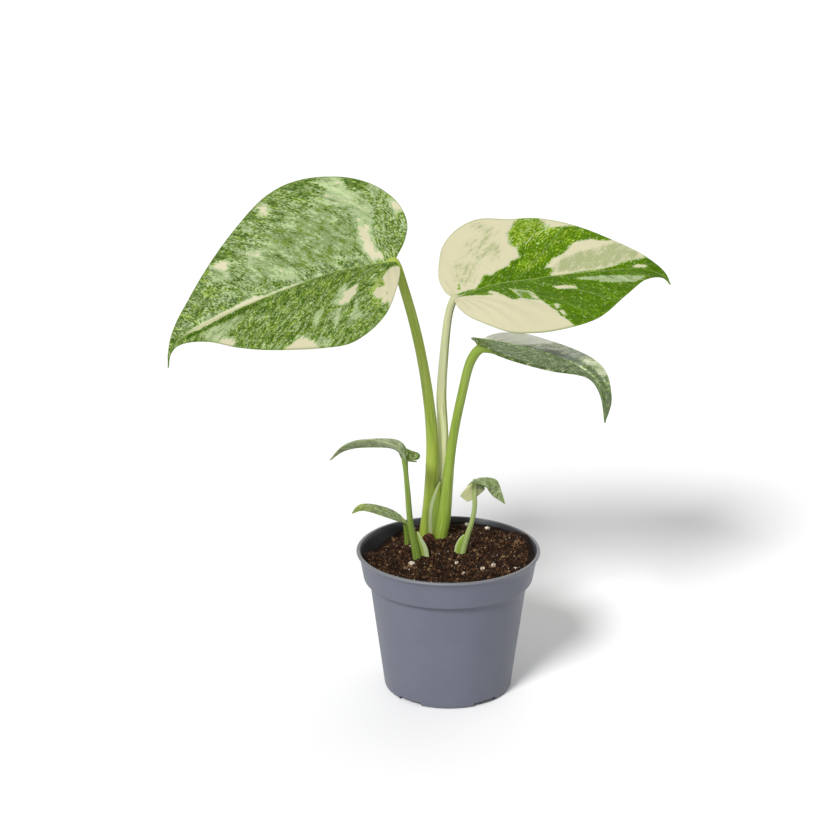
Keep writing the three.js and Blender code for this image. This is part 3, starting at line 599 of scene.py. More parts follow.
# %% Patches of the upper left leaf
LEAVES["leaf_upper_left"]["ground"] = {"left": (-0.35, -0.35, 0), "right": (-0.2, -0.4, 0)}
LEAVES["leaf_upper_left"]["patches"] = [
    ("lighter lobe", 0.0, -0.1, 0, 6, [(16, -2), (18, -60), (-20, -60), (-20, -2)]),
    ("silvery middle", 0.9, -0.4, 0, 9,
     [(101, -14), (94, -30), (76, -39), (58, -53), (39, -48), (25, -39), (21, -24), (16, -9),
      (38, -4), (68, -3)]),
    ("deep under the midrib", -0.6, -0.5, 0, 5,
     [(95, 0), (62, 2), (32, 4), (6, 1), (4, 9), (21, 13), (42, 22), (64, 20), (90, 12)]),
    ("deep top", *GREEN, RAGGED, [(28, -69), (22, -66), (18, -59), (16, -54), (23, -55), (27, -61)]),
    ("deep left edge", *GREEN, RAGGED,
     [(109, -41), (103, -46), (96, -41), (98, -36), (104, -35), (109, -37)]),
    ("foot speckles", *YELLOW, 2, [(4, 14), (10, 18), (14, 36), (10, 47), (4, 54), (-2, 40)]),
    ("cream foot", *CREAM, TORN,
     [(1, 9), (5, 17), (6, 22), (4, 27), (4, 31), (9, 32), (12, 37), (8, 42), (5, 41),
      (6, 46), (3, 47), (2, 43), (1, 58), (-3, 50), (-6, 24), (-5, 10)]),
    ("tooth in the foot", *YELLOW, 0.6, [(4, 38), (3, 37), (2, 40), (3, 42)]),
    ("pale streak by the lobe", *CREAM, RAGGED,
     [(8, -4), (14, -3), (18, -11), (20, -19), (20, -27), (17, -33), (14, -31), (15, -22),
      (13, -14), (10, -8)]),
    ("grey patch at the top", *PALE_SILVER, RAGGED,
     [(38, -74), (28, -70), (27, -60), (24, -55), (18, -53), (16, -45), (12, -40), (12, -31),
      (18, -26), (22, -29), (24, -38), (25, -44), (32, -45), (38, -51), (35, -59)]),
    ("lobe edge", *CREAM, RAGGED, [(0, -44), (-4, -42), (-10, -35), (-4, -35)]),
    ("top edge", *FAINT, RAGGED, [(11, -60), (6, -56), (7, -48), (12, -51)]),
    ("pale tip wedge", *FAINT, RAGGED,
     [(129, 11), (121, 11), (112, 11), (104, 10), (103, 17), (108, 20), (115, 22), (117, 28),
      (113, 37), (117, 42), (125, 30), (131, 20)]),
    ("cream in the tip wedge", *CREAM, RAGGED, [(117, 28), (113, 37), (117, 42), (125, 30)]),
    ("lower margin spot", *CREAM, TORN,
     [(80, 62), (74, 61), (69, 59), (66, 58), (63, 63), (59, 67), (56, 76), (80, 74)]),
    ("grey beside it", *FAINT, TORN, [(57, 67), (56, 63), (51, 65), (46, 70), (50, 76)]),
    ("midrib stripe", *CREAM, 1.0,
     [(142, 0), (128, -1), (111, -1.5), (98, -3), (92, -3), (88, -1), (75, -0.8), (60, -0.5),
      (60, 0.3), (75, 0.5), (88, 0.8), (103, 1), (114, 2.5), (128, 3), (142, 1.5)]),
    ("dark line under the stripe", *GREEN, 1.2,
     [(150, 4), (128, 6), (114, 5), (103, 2), (88, 2), (84, 7), (100, 8), (114, 10), (130, 10)]),
    ("middle grey patch", *PALE_SILVER, RAGGED,
     [(78, -19), (69, -15), (61, -10), (62, -4), (71, -6), (78, -12)]),
    ("spot a", *CREAM, RAGGED, [(86, -34), (81, -31), (81, -27), (86, -31)]),
    ("spot b", *FAINT, RAGGED, [(92, -20), (86, -17), (87, -13), (93, -17)]),
    ("spot c", *FAINT, RAGGED, [(90, -29), (83, -27), (81, -23), (89, -24)]),
    ("left pale a", *CREAM, RAGGED, [(110, -35), (102, -35), (101, -31), (103, -28), (108, -32)]),
    ("left pale b", *FAINT, RAGGED, [(112, -29), (102, -27), (103, -21), (112, -23), (117, -25)]),
    ("left edge", *FAINT, RAGGED, [(99, -58), (94, -60), (88, -60), (92, -53), (99, -47)]),
    ("low cream", *CREAM, TORN, [(23, 24), (23, 32), (29, 41), (35, 41), (37, 37), (29, 28)]),
    ("grey above it", *FAINT, TORN, [(29, 25), (32, 34), (38, 39), (42, 38), (36, 27), (31, 20)]),
    ("low pale a", *FAINT, TORN, [(44, 49), (39, 44), (35, 44), (34, 51), (39, 59), (42, 55)]),
    ("low pale b", *FAINT, TORN,
     [(28, 56), (25, 48), (23, 36), (22, 38), (21, 50), (15, 57), (24, 58), (32, 64)]),
    ("low pale c", *FAINT, TORN, [(57, 51), (54, 41), (48, 41), (51, 47), (54, 54)]),
    ("top left spot", *CREAM, RAGGED, [(72, -63), (68, -62), (68, -57), (72, -57)]),
    ("blue grey spot", *PALE_SILVER, RAGGED, [(44, -48), (41, -47), (39, -40), (42, -38)]),
    ("left top pale a", *FAINT, RAGGED, [(85, -54), (79, -52), (81, -48), (86, -51)]),
    ("left top pale b", *FAINT, RAGGED, [(96, -45), (92, -43), (91, -38), (96, -40)]),
]

# %% Patches of the right leaf
LEAVES["leaf_right"]["ground"] = {"left": CREAM, "right": CREAM}
LEAVES["leaf_right"]["patches"] = [
    ("blotch a", *STAINED, 3, [(28, 68), (35, 66), (32, 56), (26, 58)]),
    ("blotch b", *STAINED, 5, [(30, 60), (41, 55), (36, 20), (22, 24)]),
    ("blotch c", *STAINED, 4, [(20, 50), (28, 46), (26, 29), (15, 33)]),
    ("blotch d", *STAINED, 5, [(9, 32), (24, 26), (18, 4), (2, 6)]),
    ("blotch e", *STAINED, 3, [(29, 45), (38, 43), (35, 25), (28, 28)]),
    ("green band", *GREEN, 1.0,
     [(-3, 0), (1, -1), (7, -3), (13, -7), (18, -11), (24, -14), (24, -13), (21, -9), (23, -7),
      (26, -10), (28, -14), (31, -18), (34, -22), (38, -23), (41, -21), (39, -17), (36, -10),
      (41, -12), (46, -14), (48, -16), (50, -21), (52, -25), (55, -31), (57, -36), (59, -38),
      (60, -43), (64, -48), (70, -60), (150, -50), (150, 30), (96, 46), (90, 43), (79, 44),
      (74, 44), (69, 39), (61, 37), (54, 33), (48, 29), (48, 21), (45, 20), (42, 19), (40, 15),
      (36, 13), (34, 12), (34, 15), (32, 12), (29, 10), (28, 8), (26, 10), (23, 11), (21, 8),
      (19, 4), (17, 3), (15, 1), (11, 2), (8, 2), (4, 2), (1, 1)]),
    ("yellower arm", -1.1, -0.45, 0, 2,
     [(40, 12), (51, 20), (52, 27), (62, 33), (72, 36), (80, 40), (92, 40), (96, 34), (84, 28),
      (74, 24), (66, 18), (58, 10), (48, 6)]),
    ("olive patch", *SPECKLED, 2.5,
     [(49, 53), (52, 58), (57, 60), (63, 59), (69, 56), (72, 48), (69, 43), (62, 39), (56, 34),
      (50, 32), (45, 31), (44, 38), (44, 46), (47, 50)]),
    ("speckled edge of the band", *SPECKLED, 3, [(48, 31), (60, 40), (74, 46), (78, 40), (56, 31)]),
    ("cream wedge", *CREAM, 1.0,
     [(62, 8), (66, 12), (69, 16), (75, 18), (80, 22), (82, 25), (85, 27), (90, 28), (95, 28),
      (98, 26), (103, 26), (112, 26), (116, 24), (119, 21), (123, 15), (126, 12), (123, 10),
      (119, 9), (111, 9), (109, 7), (106, 4), (102, 3), (97, 2), (90, 2), (84, 2), (77, 1),
      (72, 0), (67, 0), (64, 1), (68, 3), (70, 6), (69, 8), (66, 8)]),
    ("grey in the wedge", *GREY_WEDGE, 2.5,
     [(66, 2), (70, 12), (80, 18), (90, 21), (100, 22), (114, 24), (122, 15), (124, 10),
      (108, 5), (98, 2), (84, 1)]),
    ("cream in the wedge", *CREAM, 2.5, [(80, 20), (86, 27), (96, 27), (100, 22), (90, 19)]),
    ("stripe under the midrib", *FAINT, 1.0,
     [(79, -7), (85, -6), (90, -6), (98, -6), (118, -8), (127, -7), (123, -11), (117, -15),
      (101, -15), (94, -14), (92, -11), (82, -9)]),
    ("grey strip", *SILVER, 1.0,
     [(37, -10), (41, -13), (47, -16), (48, -22), (52, -25), (45, -24), (41, -21), (39, -16)]),
    ("streak a", *CREAM, 0.8, [(63, -13), (71, -13), (77, -15), (78, -18), (66, -16)]),
    ("streak b", *CREAM, 0.8, [(61, -38), (63, -38), (64, -43), (62, -43)]),
    ("streak e", *CREAM, 0.8, [(60, -31), (62, -32), (61, -36), (59, -35)]),
    ("streak f", *CREAM, 0.8, [(119, 3), (127, 4), (127, 2), (118, 1)]),
    ("green streak", *YELLOW, 0.8, [(6, 12), (8, 11), (6, 4), (4, 5)]),
    ("dark dot", *GREEN, 0.5, [(23, 27), (25, 27), (25, 29), (23, 29)]),
    ("plain tip", -1.8, -1.8, 0, 4, [(129, 11), (141, 9), (150, -1), (128, -16)]),
]

# %% Patches of the drooping leaf and the small leaves
# The left half is the far one. Its paler ground is partly its own tissue and partly painted light,
# for the shade of the right leaf above it.
LEAVES["leaf_drooping"]["ground"] = {"left": (1.2, 0.6, 0), "right": (-0.1, -0.5, 0)}
LEAVES["leaf_drooping"]["patches"] = [
    ("cream back", *CREAM, 1.2,
     [(1, 7), (-4, 14), (-4, 24), (0, 34), (10, 42), (20, 50), (30, 50), (38, 44), (36, 37),
      (20, 24), (13, 14), (7, 9)]),
    ("dark band", *GREEN, 1.5,
     [(14, 9), (29, 18), (41, 22), (53, 19), (64, 13), (72, 6), (85, 3), (85, 7), (78, 10),
      (72, 12), (64, 19), (53, 25), (41, 28), (29, 23), (14, 14)]),
    ("pale margin", 1.8, 0.3, 0, 2,
     [(43, 38), (56, 32), (67, 24), (73, 21), (80, 20), (75, 30), (60, 44), (45, 48)]),
    ("green tip", -1.4, -0.8, 0, 5, [(80, 14), (80, -12), (110, -12), (110, 14)]),
]
LEAVES["small_leaf_upper"]["ground"] = {"left": (0.9, 0.0, 0), "right": (1.2, 0.3, 0)}
LEAVES["small_leaf_upper"]["patches"] = [
    ("green lobes", -0.2, -0.7, 0, 3, [(-14, 15), (-14, -15), (4, -15), (4, 15)]),
]
LEAVES["small_leaf_lower"]["ground"] = {"left": (-0.5, -0.3, 0), "right": (-0.3, -0.2, 0)}
LEAVES["small_leaf_lower"]["patches"] = [
    # The pale band across the fold by the junction is a painted highlight.
    ("bright fold", *YELLOW, 1.5, [(-1, 8), (-1, -8), (3, -8), (3, 8)]),
    ("yellow tip", *YELLOW, 5, [(26, 9), (26, -9), (46, -9), (46, 9)]),
]
LEAVES["small_leaf_right"]["ground"] = {"left": (0.5, -0.2, 0), "right": (0.6, -0.4, 0)}
LEAVES["small_leaf_right"]["patches"] = [
    ("cream lobes", *CREAM, 2, [(-17, 13), (-17, -13), (-2, -13), (-2, 13)]),
]
print("patches:", {name: len(leaf["patches"]) for name, leaf in LEAVES.items()})


# %% [markdown]
# A patch is painted on the vertices by its distance from the drawn outline. A ramp of a few
# millimetres, and not a hard edge, goes into the mark: the material then cuts it where the
# noise says, so that the edge is crisp and ragged at any zoom, and not stepped by the mesh.

# %% Paint by the distance inside an outline, in millimetres
def depth_inside(x, y, outline):
    corners = np.array(outline, float)
    nearest = np.full(x.shape, 1e9)
    inside = np.zeros(x.shape, bool)
    for (ax, ay), (bx, by) in zip(corners, np.roll(corners, -1, axis=0)):
        run, rise = bx - ax, by - ay
        t = np.clip(((x - ax) * run + (y - ay) * rise) / (run**2 + rise**2), 0, 1)
        nearest = np.minimum(nearest, np.hypot(x - ax - t * run, y - ay - t * rise))
        crosses = (ay > y) != (by > y)
        if rise:
            inside ^= crosses & (x < ax + (y - ay) * run / rise)
    return np.where(inside, nearest, -nearest)


def paint(leaf, half, x, y):
    marks = np.zeros((*x.shape, 3)) + leaf["ground"][half]
    for _, veil, pale, stain, soft, outline in leaf["patches"]:
        weight = np.clip(0.5 + depth_inside(x, y * SIGN[half], outline) / (2 * soft), 0, 1)
        marks += ((veil, pale, stain) - marks) * weight[..., None]
    return np.moveaxis(marks, -1, 0)


# %% [markdown]
# Each half is built from its top face, its bottom face and a rounded rim that joins them, and
# the two halves are welded along the midrib. Every point keeps its place on the flat leaf, in
# three UV maps: across and along the side veins, the same for the veins of the lobes, and
# straight along the midrib.

# %% The body of one half
RIM_BULGE = 0.12
NO_ZERO = 1e-9


def grid_faces(rows, columns, first):
    a = first + (np.arange(rows - 1)[:, None] * columns + np.arange(columns - 1)).ravel()
    return np.stack([a, a + columns, a + columns + 1, a + 1], -1)


def half_points(leaf, half, x, y, u, share):
    middle, normal = bent(leaf, half, x, y)
    high, low = relief(leaf, x, y, u, share)
    top = middle + high[..., None] * normal
    bottom = middle + low[..., None] * normal
    outward = unit(middle[:, -1] - middle[:, -2] + NO_ZERO)
    rim = (top[:, -1] + bottom[:, -1]) / 2 + RIM_BULGE * outward
    return [top.reshape(-1, 3), bottom.reshape(-1, 3), rim]


def half_faces(half, rows, columns, first):
    size = rows * columns
    margin = first + np.arange(rows) * columns + columns - 1
    rim = first + 2 * size + np.arange(rows)
    made = [grid_faces(rows, columns, first), grid_faces(rows, columns, first + size)[:, ::-1]]
    for above, below in ((margin, rim), (rim, margin + size)):
        made.append(np.stack([above[:-1], above[1:], below[1:], below[:-1]], -1))
    return made if SIGN[half] > 0 else [faces[:, ::-1] for faces in made]


# %% Flat places and marks of one half
VEIN_UNIT = 0.01
VEIN_ANGLE, LOBE_ANGLE = radians(60), radians(100)
VEIN_BOW = 0.004
LOBE_STARTS, LOBE_ENDS = radians(68), radians(88)
HALF_SHIFT = {"left": 0, "right": 500}


def lie_along(x, y, angle, bow, shift):
    """Coordinates of flat points across and along lines that leave the midrib at an angle."""
    across = y * np.cos(angle) - x * np.sin(angle) + bow * y * y
    along_line = x * np.cos(angle) + y * np.sin(angle)
    return np.stack([across + shift, along_line], -1) * VEIN_UNIT


def half_maps(half, x, y):
    shift = HALF_SHIFT[half]
    return {"veins": lie_along(x, y, VEIN_ANGLE, VEIN_BOW, shift),
            "lobes": lie_along(x, y, LOBE_ANGLE, 0, shift),
            "flat": np.stack([x * VEIN_UNIT, y * SIGN[half] * VEIN_UNIT], -1)}


def half_marks(leaf, half, x, y, u, share):
    veil, pale, stain = paint(leaf, half, x, y)
    return {"veil": veil, "pale": pale, "stain": stain, "share": share,
            "vein": np.cos(2 * pi * leaf["veins"] * u),
            "lobe": ease(LOBE_STARTS, LOBE_ENDS, np.arctan2(y, x))}


# %% Build the blades
BLADE_WELD, BLADE_SLIVER = 1e-7, 3e-6


def blade(name):
    leaf = LEAVES[name]
    points, faces, maps, marks = [], [], {}, {}
    count = 0
    for half in SIGN:
        grid = vein_grid(leaf, half)
        x, y = grid[:2]
        rows, columns = x.shape
        points += half_points(leaf, half, *grid)
        faces += half_faces(half, rows, columns, count)
        for title, flat in half_maps(half, x, y).items():
            maps.setdefault(title, []).extend([flat.reshape(-1, 2)] * 2 + [flat[:, -1]])
        for title, mark in half_marks(leaf, half, *grid).items():
            marks.setdefault(title, []).extend([mark.ravel()] * 2 + [mark[:, -1]])
        under = [np.zeros(x.size), np.ones(x.size), np.full(rows, 0.5)]
        marks.setdefault("under", []).extend(under)
        count += 2 * x.size + rows
    piece = mesh_piece(name, np.vstack(points), np.vstack(faces),
                       {title: np.vstack(values) for title, values in maps.items()},
                       {title: np.concatenate(values) for title, values in marks.items()})
    return welded(piece, gap=BLADE_WELD, sliver=BLADE_SLIVER)


blades = {name: blade(name) for name in LEAVES}

# %% [markdown]
# ## Leaf tissue
#
# The mottled colour is one effect for all the leaves: two noises stretched along the veins
# decide where the veil lies and where the inside is pale, and a finer one frays every edge.
# In the lobes behind the junction the veins fan out backwards, so there the noises turn to
# follow them. Painting the whole pattern as an image would fix one leaf only. The group
# takes the marks and gives back colour, a height for the bump, and a gloss mask.

# %% Leaf tissue group
leaf_net, leaf_in, leaf_out = node_group(
    "leaf_tissue",
    {"Veins": (VECTOR, None), "Lobes": (VECTOR, None), "Flat": (VECTOR, None),
     "Lobe": (FLOAT, 0.0), "Veil": (FLOAT, 0.0), "Pale": (FLOAT, 0.0),
     "Stain": (FLOAT, 0.0), "Vein": (FLOAT, 0.0), "Share": (FLOAT, 0.0), "Under": (FLOAT, 0.0),
     "Veil noise": (FLOAT, 6.5), "Pale noise": (FLOAT, 6.5), "Fleck noise": (FLOAT, 4.8),
     "Pale specks": (FLOAT, 0.7), "Finer": (FLOAT, 1.0),
     "Green": (COLOUR, tint(46, 74, 0)), "Mid green": (COLOUR, tint(84, 108, 26)),
     "Yellow green": (COLOUR, tint(130, 150, 70)), "Grey green": (COLOUR, tint(111, 129, 82)),
     "Pale grey": (COLOUR, tint(143, 159, 115)), "Cream": (COLOUR, tint(180, 175, 145)),
     "Speck": (COLOUR, tint(172, 183, 132)), "Grey": (COLOUR, tint(138, 147, 102)),
     "Rib": (COLOUR, tint(120, 140, 72)),
     "Rib width mm": (FLOAT, 0.8)},
    {"Color": COLOUR, "Height": FLOAT, "Gloss": FLOAT})


# %% Noises along the veins
def vein_noise(across_mm, along_mm, shift, detail, rough, lines="Veins"):
    """Noise with cells of a size in millimetres, long along the veins."""
    cells = (1 / (across_mm * VEIN_UNIT), 1 / (along_mm * VEIN_UNIT), 1)
    place = leaf_net.vector("MULTIPLY", leaf_in[lines], cells)
    place = leaf_net.vector("SCALE", place, leaf_in["Finer"])
    place = leaf_net.vector("ADD", place, (shift, shift * 1.7, 0))
    return leaf_net.calc("SUBTRACT", leaf_net.noise(place, 1.0, detail, rough), 0.5)


def fanned_noise(*settings):
    """Noise along the veins, and along the veins of the lobes behind the junction."""
    ahead, behind = vein_noise(*settings), vein_noise(*settings, lines="Lobes")
    change = leaf_net.calc("SUBTRACT", behind, ahead)
    return leaf_net.calc("MULTIPLY_ADD", change, leaf_in["Lobe"], ahead)


# Each noise has the width and length of its cells in millimetres, a shift, detail, roughness.
streaks = fanned_noise(2.9, 10.0, 3.0, 3.0, 0.6)
patches = fanned_noise(3.3, 8.5, 41.0, 3.0, 0.6)
drift = fanned_noise(7.0, 24.0, 151.0, 2.0, 0.5)
flecks = vein_noise(1.0, 2.0, 77.0, 1.0, 0.5)
specks = vein_noise(0.9, 4.2, 191.0, 2.0, 0.6)

# %% [markdown]
# Each mark plus its noise gives a value, and a soft step at a level turns the value into a
# share of one colour over another. Where the veil is strong the flecks fray its edge less.

# %% Which tissue shows where
VEIL_STEP, MIDDLE_STEP, PALE_STEP, CREAM_STEP = (-0.15, 0.2), (-1.0, -0.5), (0.05, 0.4), (1.3, 1.6)
CALM_VEIL = (0.3, 1.0, 1.0, 0.55)

fray = leaf_net.calc("MULTIPLY", leaf_in["Fleck noise"],
                     leaf_net.stepped(leaf_in["Veil"], *CALM_VEIL))
fray = leaf_net.calc("MULTIPLY", flecks, fray)
values = {}
for title, cloud in (("Veil", streaks), ("Pale", patches)):
    values[title] = leaf_net.calc("MULTIPLY_ADD", cloud, leaf_in[title + " noise"],
                                  leaf_net.calc("ADD", leaf_in[title], fray))
veil_on = leaf_net.stepped(values["Veil"], *VEIL_STEP)
middle_on = leaf_net.stepped(values["Pale"], *MIDDLE_STEP)
pale_on = leaf_net.stepped(values["Pale"], *PALE_STEP)
cream_on = leaf_net.calc("MULTIPLY", leaf_net.stepped(values["Pale"], *CREAM_STEP), veil_on)
layers = []
for deep, middle, pale in (("Green", "Mid green", "Yellow green"),
                           ("Mid green", "Grey green", "Pale grey")):
    layer = leaf_net.mixed(middle_on, leaf_in[deep], leaf_in[middle])
    layers.append(leaf_net.mixed(pale_on, layer, leaf_in[pale]))
tissue = leaf_net.mixed(veil_on, *layers)

# %% Short pale specks, a slow drift of tone, and the cream over both
SPECK_STEP = (0.13, 0.19)
DRIFT = 0.8

speck_on = leaf_net.calc("MULTIPLY", leaf_net.stepped(specks, *SPECK_STEP),
                         leaf_in["Pale specks"])
tissue = leaf_net.mixed(speck_on, tissue, leaf_in["Speck"])
tissue = leaf_net.toned(tissue, leaf_net.calc("MULTIPLY_ADD", drift, DRIFT, 1.0))
tissue = leaf_net.mixed(cream_on, tissue, leaf_in["Cream"])

# %% A thin grey-green shade in broken patches over some of the cream
STAIN_STEP, STAIN_PATCHES, STAIN_FLECKS = (0.2, 0.8, 0.0, 0.8), 1.6, 0.7

shade = leaf_net.calc("MULTIPLY_ADD", flecks, STAIN_FLECKS, leaf_in["Stain"])
shade = leaf_net.calc("MULTIPLY_ADD", patches, STAIN_PATCHES, shade)
stain_on = leaf_net.calc("MULTIPLY", leaf_net.stepped(shade, *STAIN_STEP),
                         leaf_net.stepped(leaf_in["Stain"], 0.0, 0.3))
tissue = leaf_net.mixed(stain_on, tissue, leaf_in["Grey"])

# %% The midrib as a pale line that is widest at the junction, the veins and the margin
RIB_TONE, VEIN_TONE, MARGIN_TONE, UNDER_TONE = 0.7, 0.3, 0.45, 0.1
UNDERSIDE = tint(124, 136, 106)

flat_parts = leaf_net.parts(leaf_in["Flat"])
from_rib = leaf_net.calc("DIVIDE", leaf_net.calc("ABSOLUTE", flat_parts[1]), VEIN_UNIT)
rib_reach = leaf_net.calc("MULTIPLY", leaf_in["Rib width mm"],
                          leaf_net.stepped(flat_parts[0], 0.0, 1.5, 1.0, 0.35))
on_rib = leaf_net.stepped(leaf_net.calc("DIVIDE", from_rib, rib_reach), 1.1, 0.5)
on_vein = leaf_net.stepped(leaf_in["Vein"], 0.9, 1.0, 0.0, VEIN_TONE)
on_vein = leaf_net.calc("MULTIPLY", on_vein, leaf_net.calc("SUBTRACT", 1.0, cream_on))
on_margin = leaf_net.stepped(leaf_in["Share"], 0.975, 0.995, 0.0, MARGIN_TONE)
for share, colour in ((leaf_net.calc("MULTIPLY", on_rib, RIB_TONE), leaf_in["Rib"]),
                      (on_vein, leaf_in["Rib"]), (on_margin, leaf_in["Mid green"]),
                      (leaf_net.calc("MULTIPLY", leaf_in["Under"], UNDER_TONE), UNDERSIDE)):
    tissue = leaf_net.mixed(share, tissue, colour)
leaf_net.link(tissue, leaf_out["Color"])

# %% Height of the bumps, and where the surface is glossier
FLECK_BUMP, STREAK_BUMP = 0.6, 0.5

bumps = leaf_net.calc("MULTIPLY_ADD", flecks, FLECK_BUMP,
                      leaf_net.calc("MULTIPLY", streaks, STREAK_BUMP))
leaf_net.link(leaf_net.calc("ADD", bumps, 0.5), leaf_out["Height"])
leaf_net.link(leaf_net.calc("MULTIPLY_ADD", veil_on, 0.5, 0.25), leaf_out["Gloss"])


# %% Leaf materials
LEAF_RADIUS = (1.0, 1.0, 0.7)
LEAF_ROUGH, VEILED_ROUGH, WAX_ROUGH = 0.5, 0.4, 0.35
LEAF_BUMP = 0.25


def leaf_material(name, specular=0.12, through=0.12, reach=0.4, wax=0.0, **values):
    """Light passes through the blade by a share and over a reach in millimetres."""
    material, net, surface = new_material(name, specular)
    surface["Subsurface Weight"].default_value = through
    surface["Subsurface Radius"].default_value = LEAF_RADIUS
    surface["Subsurface Scale"].default_value = reach * MM
    maps = {title: net.map(title.lower()) for title in ("Veins", "Lobes", "Flat")}
    marks = {title: net.mark(title.lower())
             for title in ("Veil", "Pale", "Stain", "Vein", "Share", "Under", "Lobe")}
    made = net.group(leaf_net, {**maps, **marks, **values})
    roughness = net.stepped(made["Gloss"], 0.0, 1.0, LEAF_ROUGH, VEILED_ROUGH)
    finish_surface(net, surface, made["Color"], roughness, made["Height"], LEAF_BUMP)
    top_face = net.calc("SUBTRACT", 1.0, marks["Under"])
    net.link(net.calc("MULTIPLY", top_face, wax), surface["Coat Weight"])
    surface["Coat Roughness"].default_value = WAX_ROUGH
    return material


mottled_leaf = leaf_material("mottled_leaf")
# The drooping leaf's cream and pale grey are lighter than the other leaves': painted light on its
# far half, which lies in the shade of the right leaf.
drooping_leaf = leaf_material("drooping_leaf", 0.25, 0.35, 1.0, 0.6, **{
    "Rib": tint(92, 112, 50),
    "Cream": tint(248, 245, 232), "Green": tint(50, 76, 0), "Mid green": tint(82, 108, 28),
    "Grey green": tint(114, 136, 74), "Yellow green": tint(134, 154, 66),
    "Pale grey": tint(182, 190, 150), "Speck": tint(188, 197, 152)})
cream_leaf = leaf_material("cream_leaf", 0.06, 0.2, 0.7, **{
    "Green": tint(62, 94, 0), "Mid green": tint(88, 119, 4), "Cream": tint(184, 179, 149),
    "Yellow green": tint(134, 156, 52), "Speck": tint(172, 183, 132),
    "Grey": tint(134, 145, 98), "Veil noise": 3.4, "Pale noise": 4.4,
    "Fleck noise": 5.5, "Finer": 0.9})
young_leaf = leaf_material("young_leaf", **{
    "Finer": 1.4, "Rib width mm": 0.5, "Green": tint(66, 86, 24), "Mid green": tint(96, 114, 54),
    "Pale specks": 0.4, "Grey green": tint(120, 133, 94), "Yellow green": tint(134, 148, 66),
    "Pale grey": tint(152, 162, 124), "Cream": tint(206, 208, 154)})
LEAF_FINISHES = {"leaf_upper_left": (mottled_leaf, "leaf_variegated"),
                 "leaf_right": (cream_leaf, "leaf_cream"),
                 "leaf_drooping": (drooping_leaf, "leaf_variegated")}
for name, piece in blades.items():
    keep(piece, *LEAF_FINISHES.get(name, (young_leaf, "leaf_juvenile")), name + "_blade")
print("leaf finishes:", {name: piece.active_material.name for name, piece in blades.items()})

# %% [markdown]
# ## The stems
#
# Each leaf stands on its own stem, a petiole: an oval rod that is thick and clasping at the
# soil, thins on the way up and swells a little at the knee under the blade. It could be a
# Blender curve with a bevel, but its width and depth change separately, so it is swept in
# code, with fine grooves down its whole length. The routes are those of the frame's stems,
# but the drooping leaf's stem turns a little lower at its top, and the sheath between the two
# thick stems is broader than the frame's.

# %% Routes of the stems, and [half width, half depth] along them
STEMS = {
    "petiole_upper_left": (
        [[-15.5, 31, 70], [-14.5, 31, 93], [-12, 31, 114], [-10.5, 29.5, 139],
         [-10.5, 27.5, 160.5], [-12.5, 24.5, 185.5], [-16.5, 20.5, 214], [-22, 16.5, 241.5],
         [-29, 13, 268], [-34.5, 12, 284.5]],
        [[4.4, 4.4], [4.6, 4.5], [4.6, 4.4], [4.5, 4.2], [4.1, 3.9], [3.6, 3.6], [3.3, 3.3],
         [3.2, 3.2], [3, 3], [2.7, 2.7]]),
    "petiole_right": (
        [[-9.5, 38.5, 70], [-8, 39, 92], [-6, 38.5, 114.5], [-4, 37, 136.5],
         [-3.5, 34.5, 162.5], [-4.5, 31, 190.5], [-3, 27.5, 218.5], [-0.5, 24, 244.5],
         [3, 22, 258]],
        [[3.8, 3.6], [4, 3.8], [4, 3.8], [3.9, 3.6], [3.7, 3.4], [3.3, 3.2], [2.9, 2.9],
         [2.6, 2.6], [2.4, 2.4]]),
    "petiole_drooping": (
        [[-6.5, 27, 70], [-5, 26.5, 93], [-2.5, 26.5, 108], [-0.5, 26, 129], [1.5, 25, 151],
         [4.5, 22.5, 172.5], [8.5, 18.5, 194.5], [12, 14, 212.5], [15.2, 11, 222],
         [19.5, 8.2, 228]],
        [[4.4, 4.2], [4.7, 4.3], [4.5, 4.2], [3.7, 3.7], [3.2, 3.2], [3, 3], [3, 3], [3, 3],
         [3.1, 3.1], [3.1, 3.1]]),
    "small_petiole_upper": (
        [[-19.5, 0, 74], [-20.5, 0, 89.5], [-23, 0, 103], [-25, -0.5, 115.5],
         [-26.5, -1, 135], [-27.6, -1, 148], [-28.3, -1, 157.4]],
        [[2.8, 2.6], [2.9, 2.6], [2.4, 2.2], [2, 1.9], [1.8, 1.7], [1.6, 1.6], [2, 1.8]]),
    "small_petiole_lower": (
        [[-26.5, 24.5, 76], [-27, 24, 91], [-27.6, 23, 98.5], [-28, 22, 104.5]],
        [[1.9, 1.8], [2, 1.9], [1.8, 1.7], [1.6, 1.5]]),
    "small_petiole_right": (
        [[7.5, 5, 76], [9.5, 5, 90.5], [13, 5, 104], [15.5, 5, 112.5], [17, 5, 121.5],
         [17, 5, 131], [16.8, 5, 140.7]],
        [[2.2, 2.1], [2.2, 2.1], [1.8, 1.7], [1.6, 1.6], [1.6, 1.5], [1.5, 1.5], [1.5, 1.5]]),
}
SHEATHS = {
    "sheath_main": (
        [[-10, 25.6, 84], [-10, 25.4, 98], [-9.6, 25.2, 113], [-7.6, 25.6, 124],
         [-4.8, 26.2, 133]],
        [[3.4, 1], [4.2, 1], [4.4, 1], [2.8, 1], [0.6, 0.7]]),
    "sheath_small_upper": (
        [[-15, 0.6, 82], [-16, 0.5, 94], [-18.4, 0.3, 101], [-20.4, 0.2, 107.5]],
        [[3.2, 0.5], [2.6, 0.5], [1.8, 0.5], [0.6, 0.4]]),
    "sheath_small_right": (
        [[6.1, 4.6, 82], [6.5, 4.6, 93], [8.6, 4.7, 99], [11, 4.8, 103.5]],
        [[2, 0.8], [2.3, 0.8], [2, 0.8], [0.6, 0.5]]),
}


# %% [markdown]
# Where a stem meets its blade it doesn't stop: it turns and runs on beneath as the midrib. So
# each route is carried on along the underside of the midrib for a short way, tapering.

